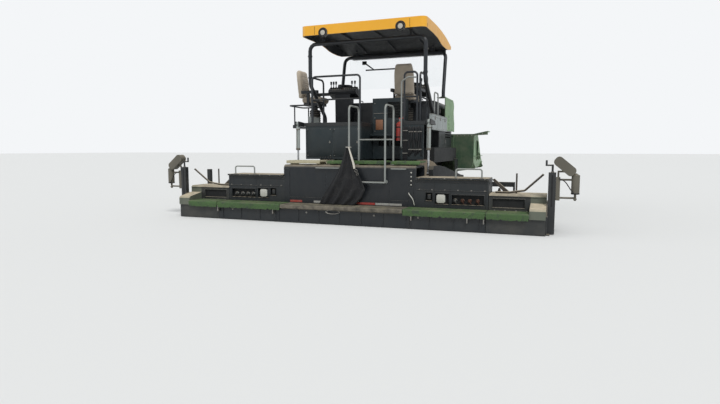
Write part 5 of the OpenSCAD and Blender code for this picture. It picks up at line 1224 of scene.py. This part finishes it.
def end_units():
    """Trim of the sliding end units, their gates and their sensors, with painted shade at the back of each
    unit's opening.
    """
    for side, word in SIDES:
        body = f"end_{word}"
        trim = Form(f"end_trim_{word}", "end_green", body)
        trim.surround(side, *END_OPENING)
        trim.box((side * 2510, FACE_Y - 16, END_TOP - 40), (side * 3395, FACE_Y + 2, END_TOP - 26), 3)
        trim.done()
        metal = Form(f"end_bolts_{word}", "bolt_steel", body)
        metal.bolts([(side * (2600 + k * 170), FACE_Y, 330) for k in range(5)], REAR, 9, 6)
        gate_x = side * (END_X + 16.3)
        for y in (260, 500, 740, 980, 1220):
            metal.bolt((gate_x, y, 400 if 300 < y < 1100 else 280), (side, 0, 0), 10, 6)
        metal.band(16.5, 24, -4, 10, (side * POST_X, SENSOR_Y, 974), UP, 24)
        metal.done()
        dark = Form(f"end_seams_and_opening_shade_{word}", "seam_dark", body)
        dark.box((side * 3460, 258.6, 440), (side * 3483, 262, 930), 1, 1)
        # Painted shade: a dark sheet at the back of the end unit's opening.
        dark.box((side * 2569, FACE_Y + 22, 381), (side * 3069, FACE_Y + 25, 519), 0)
        dark.done()
        x0, y = SENSOR_X - 280, SENSOR_Y
        wraps = Form(f"sensor_wraps_{word}", "rubber", body)
        wraps.lathe([(60, -10), (62, -8), (62, 8), (60, 10)], (side * SENSOR_X, y, 650), UP, 32)
        wraps.tube(bend([(side * (x0 + 40), y - 42, 880), (side * (x0 + 130), y - 80, 840),
                         (side * (x0 + 220), y - 64, 700), (side * (x0 + 272), y - 56, 640)], 60), 8, 12)
        wraps.done()
        eye = Form(f"sensor_eye_{word}", "sensor_dust", body)
        eye.lathe([(0, 26), (26, 22), (44, 8), (60.5, 2), (60.5, -6)], (side * SENSOR_X, y, 930), UP, 32)
        eye.lathe([(18, 6), (52, 2), (60.5, -4)], (side * SENSOR_X, y, 640), DOWN, 32)
        eye.band(18, 26, -2, 14, (side * SENSOR_X, y, 560), UP, 24)
        eye.done()


def lift_cylinders():
    """Gland, ports and grease caps of the lift cylinders."""
    along = (Vector(LIFT_LOW) - Vector(LIFT_TOP)).normalized()
    for side, word in SIDES:
        top = Vector(LIFT_TOP) + Vector((side * LIFT_X, 0, 0))
        gland = Form(f"lift_gland_{word}", "bare_steel", f"lift_barrel_{word}")
        end = top + along * BARREL_L
        gland.lathe([(20.6, 2), (34, 2), (42, -4), (42, -34), (38, -38)], end, along, 32)
        gland.band(37.5, 42, -8, 8, top + along * 110, along)
        for reach in (130, 490):
            port = top + along * reach
            gland.rod(port + Vector((0, -36, 0)), port + Vector((0, -58, 0)), 10, 12)
        gland.tube([top + along * (130 + 36 * k) + Vector((0, -54, 0)) for k in range(11)], 6, 10)
        gland.done()


def set_camera():
    lens = bpy.data.cameras.new("camera")
    lens.lens = CAMERA_LENS
    lens.sensor_width = 36.0
    lens.clip_end = 500.0
    camera = placed("camera", lens)
    camera.location = CAMERA_PLACE
    camera.rotation_euler = (math.pi / 2 + CAMERA_PITCH, 0.0, CAMERA_TURN)
    bpy.context.scene.camera = camera


def set_light():
    """A pale backdrop whose light on the machine is dimmer than the backdrop itself, and the suns."""
    scene = bpy.context.scene
    scene.view_settings.view_transform = "Standard"
    world = bpy.data.worlds.new("studio")
    world.use_nodes = True
    scene.world = world
    tree = world.node_tree
    tree.nodes.clear()
    lit = wired(tree, "ShaderNodeBackground", {"Color": srgb("eef2f6"), "Strength": 0.62})
    seen = wired(tree, "ShaderNodeBackground", {"Color": srgb("f4f6f8"), "Strength": 1.0})
    rays = wired(tree, "ShaderNodeLightPath").outputs
    either = wired(tree, "ShaderNodeMath", {0: rays["Is Camera Ray"], 1: rays["Is Transmission Ray"]},
                   operation="MAXIMUM")
    blend = wired(tree, "ShaderNodeMixShader",
                  {"Fac": either.outputs[0], 1: lit.outputs[0], 2: seen.outputs[0]})
    wired(tree, "ShaderNodeOutputWorld", {"Surface": blend.outputs[0]})
    for name, strength, angle, pitch, turn in SUNS:
        lamp = bpy.data.lights.new(name, "SUN")
        lamp.energy = strength
        lamp.angle = math.radians(angle)
        placed(name, lamp).rotation_euler = (math.radians(pitch), 0.0, math.radians(turn))


def set_floor():
    shape = bmesh.new()
    bmesh.ops.create_grid(shape, x_segments=1, y_segments=1, size=150.0)
    floor = placed("floor", as_mesh(shape, "floor"))
    shape.free()
    floor.data.materials.append(Shader("floor").done(srgb("dcdcda"), 0.9))


for make in (set_camera, set_light, set_floor, canopy, seat_pads, seat_details, consoles, cabinet,
             rear_walls, extinguisher, tool_boxes, hood, crawlers, conveyor_chains, hopper_wings, push_beam,
             augers, screed_trim, sole_details, side_box_details, mats, ladder, tarp, end_units,
             lift_cylinders):
    make()
